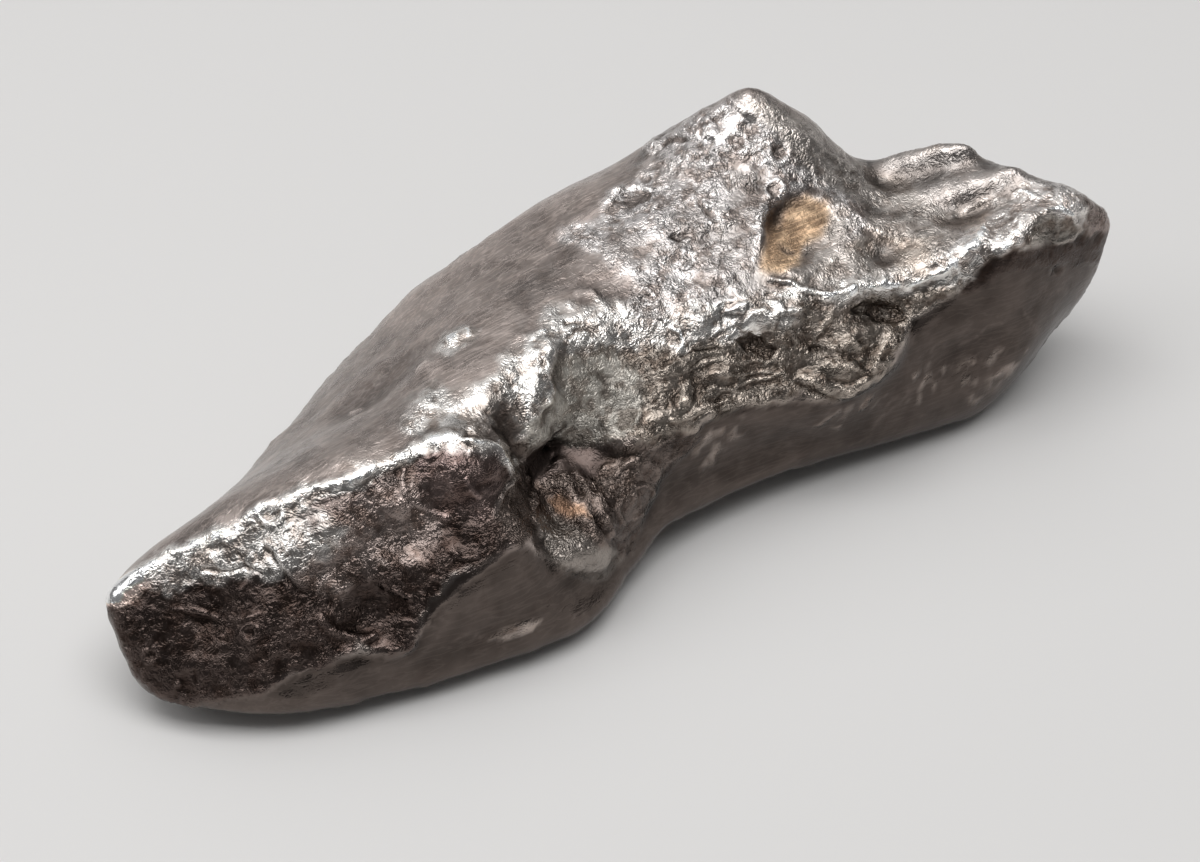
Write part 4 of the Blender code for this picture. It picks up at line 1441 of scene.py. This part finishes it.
    def bare(self) -> dict[str, Array]:
        """Gives the whole skin a mixture of the smooth and the rough tone, with painted shade where
        it faces down.

        Returns:
            Each attribute's values over the points.
        """
        mix = lumpy(self.points, self.mottle_pitch, self.mottle_start)
        mix = ease(mix / self.mottle_run + self.mottle_middle)
        values = {
            name: getattr(SLOPE, name) + mix * (getattr(ROUGH, name) - getattr(SLOPE, name))
            for name in TONE_AMOUNTS
        }
        smooth, rough = np.array(SLOPE.colour) * self.smooth_light, np.array(ROUGH.colour)
        # Painted shade: the tint darkens where the skin faces down.
        upward = ease((self.facings[:, 2:] - self.belly_facing) / self.belly_run)
        light = self.belly_light + (1.0 - self.belly_light) * upward
        values["tint"] = (smooth + mix[:, None] * (rough - smooth)) * light
        return values

    def toned(self, zones: tuple[Zone, ...]) -> dict[str, Array]:
        """Lays zones over the bare skin and over one another.

        Args:
            zones: The zones, from the lowest to the topmost.

        Returns:
            Each attribute's values over the points.
        """
        values = self.bare()
        for zone in zones:
            reach, ragged = zone.feather + self.zone_margin, zone.feather * zone.wander
            chosen, pixels = self.near(zone.outline, reach, ragged)
            share = filled(pixels, zone.outline, zone.feather)
            share *= self.seen[chosen] * zone.strength
            if zone.broken:
                share *= ease((self.uneven[chosen] - self.uneven_mean) / self.broken_run)
            for name in TONE_AMOUNTS:
                own = getattr(zone.tone, name)
                values[name][chosen] += (own - values[name][chosen]) * share
            own = np.array(zone.tone.colour)
            values["tint"][chosen] += (own - values["tint"][chosen]) * share[:, None]
        return values


@dataclass
class Meteorite:
    """The lump: its dressed skin over the solid.

    The voxel is the size of the net's quads, and crests are found at a near and a wide range,
    each given as its rounds, the height of a full crest and its share. All are in millimetres.
    """

    photograph: Photograph
    grain: Grain = field(default_factory=Grain)
    iron: Iron = field(default_factory=Iron)
    voxel: float = 0.465
    weld: float = 0.01
    softness: float = 0.5
    rounds: int = 6
    detail: float = 0.75
    detail_seen: float = 0.3
    crest_ranges: tuple[tuple[int, float, float], ...] = ((6, 0.08, 0.3), (40, 0.25, 0.2))
    zones: tuple[Zone, ...] = ZONES
    bulges: tuple[Bulge, ...] = BULGES
    calms: tuple[Calm, ...] = CALMS
    patches: tuple[Patch, ...] = PATCHES
    creases: tuple[Crease, ...] = CRESTS + GROOVES + SCRATCHES
    craters: tuple[Crater, ...] = CRATERS

    def build(self) -> bpy.types.Object:
        """Makes the skin, dresses it and ties it to the lump.

        Returns:
            The finished piece.
        """
        skin = self.copied()
        self.refined(skin.data)
        self.store(skin.data, self.worked(skin.data))
        carved = self.grain.carve(skin, self.iron.make())
        self.settle(carved)
        self.store(carved, {"crest": self.crests(carved)})
        skin.data = carved
        skin.data.name = PIECE
        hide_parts(NODE)
        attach(skin, BODY)
        return skin

    def copied(self) -> bpy.types.Object:
        """Copies the solid's skin as an even net of small quads.

        Returns:
            The copy.
        """
        bm = bmesh.new()
        bm.from_mesh(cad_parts[NODE].data)
        bmesh.ops.remove_doubles(bm, verts=bm.verts, dist=self.weld * MM)
        mesh = bpy.data.meshes.new(PIECE)
        bm.to_mesh(mesh)
        bm.free()
        mesh.materials.clear()
        skin = bpy.data.objects.new(PIECE, mesh)
        bpy.context.scene.collection.objects.link(skin)
        even = skin.modifiers.new("even net", "REMESH")
        even.mode = "VOXEL"
        even.voxel_size = self.voxel * MM
        soft = skin.modifiers.new("soft", "SMOOTH")
        soft.factor = self.softness
        soft.iterations = self.rounds
        graph = bpy.context.evaluated_depsgraph_get()
        skin.data = bpy.data.meshes.new_from_object(skin.evaluated_get(graph))
        skin.modifiers.clear()
        return skin

    def refined(self, mesh: bpy.types.Mesh) -> None:
        """Halves the net where the photograph shows the most detail.

        Args:
            mesh: The skin's mesh.
        """
        work = Skin(mesh, self.photograph)
        values = work.toned(self.zones)
        wanted = values["grain"] + values["layers"] > self.detail
        wanted &= work.seen > self.detail_seen
        bm = bmesh.new()
        bm.from_mesh(mesh)
        bm.verts.ensure_lookup_table()
        edges = [edge for edge in bm.edges if all(wanted[vert.index] for vert in edge.verts)]
        bmesh.ops.subdivide_edges(bm, edges=edges, cuts=1, use_grid_fill=True, smooth=0.0)
        many_sided = [face for face in bm.faces if len(face.verts) > 4]
        bmesh.ops.triangulate(bm, faces=many_sided)
        for face in bm.faces:
            face.smooth = True
        bm.to_mesh(mesh)
        bm.free()

    def worked(self, mesh: bpy.types.Mesh) -> dict[str, Array]:
        """Works all the shapes into the skin and tones it.

        Args:
            mesh: The skin's mesh.

        Returns:
            Each attribute's values over the points.
        """
        work = Skin(mesh, self.photograph)
        for bulge in self.bulges:
            work.bulge(bulge)
        for calm in self.calms:
            work.calm(calm)
        for patch in self.patches:
            work.patch(patch)
        for crease in self.creases:
            work.crease(crease)
        for crater in self.craters:
            work.crater(crater)
        mesh.vertices.foreach_set("co", (work.points * MM).ravel())
        mesh.update()
        return {**work.toned(self.zones), "rubbing_and_painted_highlight": work.rubbing_and_painted_highlight}

    def store(self, mesh: bpy.types.Mesh, values: dict[str, Array]) -> None:
        """Keeps values as attributes of the mesh's points.

        Args:
            mesh: The mesh.
            values: The numbers or colours of the points, by the attribute's name.
        """
        for name, numbers in values.items():
            if numbers.ndim == 2:
                layer = mesh.attributes.new(name, "FLOAT_COLOR", "POINT")
                full = np.concatenate([numbers, np.ones((len(numbers), 1))], axis=1)
                layer.data.foreach_set("color", full.astype(np.float32).ravel())
            else:
                layer = mesh.attributes.new(name, "FLOAT", "POINT")
                layer.data.foreach_set("value", numbers.astype(np.float32))

    def settle(self, mesh: bpy.types.Mesh) -> None:
        """Keeps the belly on the surface that the lump rests on.

        Args:
            mesh: The skin's mesh.
        """
        points = vectors(mesh, "co")
        points[:, 2] = np.maximum(points[:, 2], 0.0)
        mesh.vertices.foreach_set("co", points.ravel())
        mesh.update()

    def crests(self, mesh: bpy.types.Mesh) -> Array:
        """Finds the high places of the skin.

        Args:
            mesh: The skin's mesh.

        Returns:
            For each point 1 on a crest, 0 in a hollow and 0.5 where the skin is even.
        """
        points, facings, edges = vectors(mesh, "co") / MM, vectors(mesh, "normal"), joined(mesh)
        crest = np.full(len(points), MIDDLE)
        for rounds, height, share in self.crest_ranges:
            proud = np.sum((points - averaged(points, edges, rounds)) * facings, axis=1)
            crest += share * np.tanh(proud / height)
        return crest


@dataclass(frozen=True)
class Lamp:
    """A soft lamp. Its place and size are in metres."""

    name: str
    place: Place
    size: tuple[float, float]
    brightness: float


@dataclass(frozen=True)
class Studio:
    """The floor, the lamps and the camera. All sizes are in metres."""

    photograph: Photograph
    floor_colour: Colour = (0.72, 0.71, 0.70)
    floor_roughness: float = 0.9
    floor_size: float = 6.0
    sky: Colour = (0.13, 0.13, 0.132)
    aim: Place = (0.0, 0.0, 0.012)
    view: tuple[float, float] = (0.01, 20.0)
    lamps: tuple[Lamp, ...] = (
        Lamp("overhead softbox", (-0.05, -0.06, 0.60), (0.66, 0.38), 3.3),
        Lamp("ceiling", (0.1, 0.8, 1.6), (2.6, 1.9), 0.70),
        Lamp("back panel", (0.15, 1.40, 0.33), (1.5, 0.6), 0.50),
        Lamp("right panel", (1.18, 0.34, 0.44), (0.6, 0.4), 0.55),
        Lamp("front panel", (0.30, -1.22, 0.24), (1.2, 0.34), 0.22),
        Lamp("left softbox", (-0.50, 0.17, 0.42), (0.24, 0.24), 3.0),
    )

    def build(self) -> None:
        """Sets up the floor, the lamps, the room's light and the camera."""
        self.floor()
        for lamp in self.lamps:
            self.light(lamp)
        world = bpy.data.worlds.new("studio")
        world.use_nodes = True
        world.node_tree.nodes["Background"].inputs["Color"].default_value = rgba(self.sky)
        bpy.context.scene.world = world
        bpy.context.scene.view_settings.view_transform = "Standard"
        self.camera()

    def floor(self) -> None:
        """Lays the plain floor."""
        bm = bmesh.new()
        bmesh.ops.create_grid(bm, x_segments=1, y_segments=1, size=self.floor_size / 2)
        mesh = bpy.data.meshes.new("floor")
        bm.to_mesh(mesh)
        bm.free()
        floor = bpy.data.objects.new("floor", mesh)
        bpy.context.scene.collection.objects.link(floor)
        material = bpy.data.materials.new("plain floor")
        material.use_nodes = True
        shader = material.node_tree.nodes["Principled BSDF"]
        shader.inputs["Base Color"].default_value = rgba(self.floor_colour)
        shader.inputs["Roughness"].default_value = self.floor_roughness
        mesh.materials.append(material)

    def light(self, lamp: Lamp) -> None:
        """Hangs a lamp that points at the lump.

        Args:
            lamp: The lamp.
        """
        data = bpy.data.lights.new(lamp.name, "AREA")
        data.shape = "RECTANGLE"
        data.size, data.size_y = lamp.size
        data.energy = lamp.brightness * math.pi * lamp.size[0] * lamp.size[1]
        holder = bpy.data.objects.new(lamp.name, data)
        holder.location = lamp.place
        away = Vector(lamp.place) - Vector(self.aim)
        holder.rotation_euler = away.to_track_quat("Z", "Y").to_euler()
        bpy.context.scene.collection.objects.link(holder)

    def camera(self) -> None:
        """Places the camera where the photograph was taken from."""
        data = bpy.data.cameras.new("camera")
        data.lens = self.photograph.lens
        data.sensor_width = self.photograph.sensor
        data.clip_start, data.clip_end = self.view
        holder = bpy.data.objects.new("camera", data)
        holder.location = self.photograph.eye() * MM
        holder.rotation_euler = self.photograph.back().to_track_quat("Z", "Y").to_euler()
        bpy.context.scene.collection.objects.link(holder)
        bpy.context.scene.camera = holder


def main() -> None:
    """Builds the dressed lump and its studio."""
    logging.basicConfig(level=logging.INFO, format="%(name)s: %(message)s")
    photograph = Photograph()
    skin = Meteorite(photograph).build()
    triangles = sum(len(face.vertices) - 2 for face in skin.data.polygons)
    log.info("%s: %d triangles", skin.name, triangles)
    Studio(photograph).build()


if __name__ == "__main__":
    main()
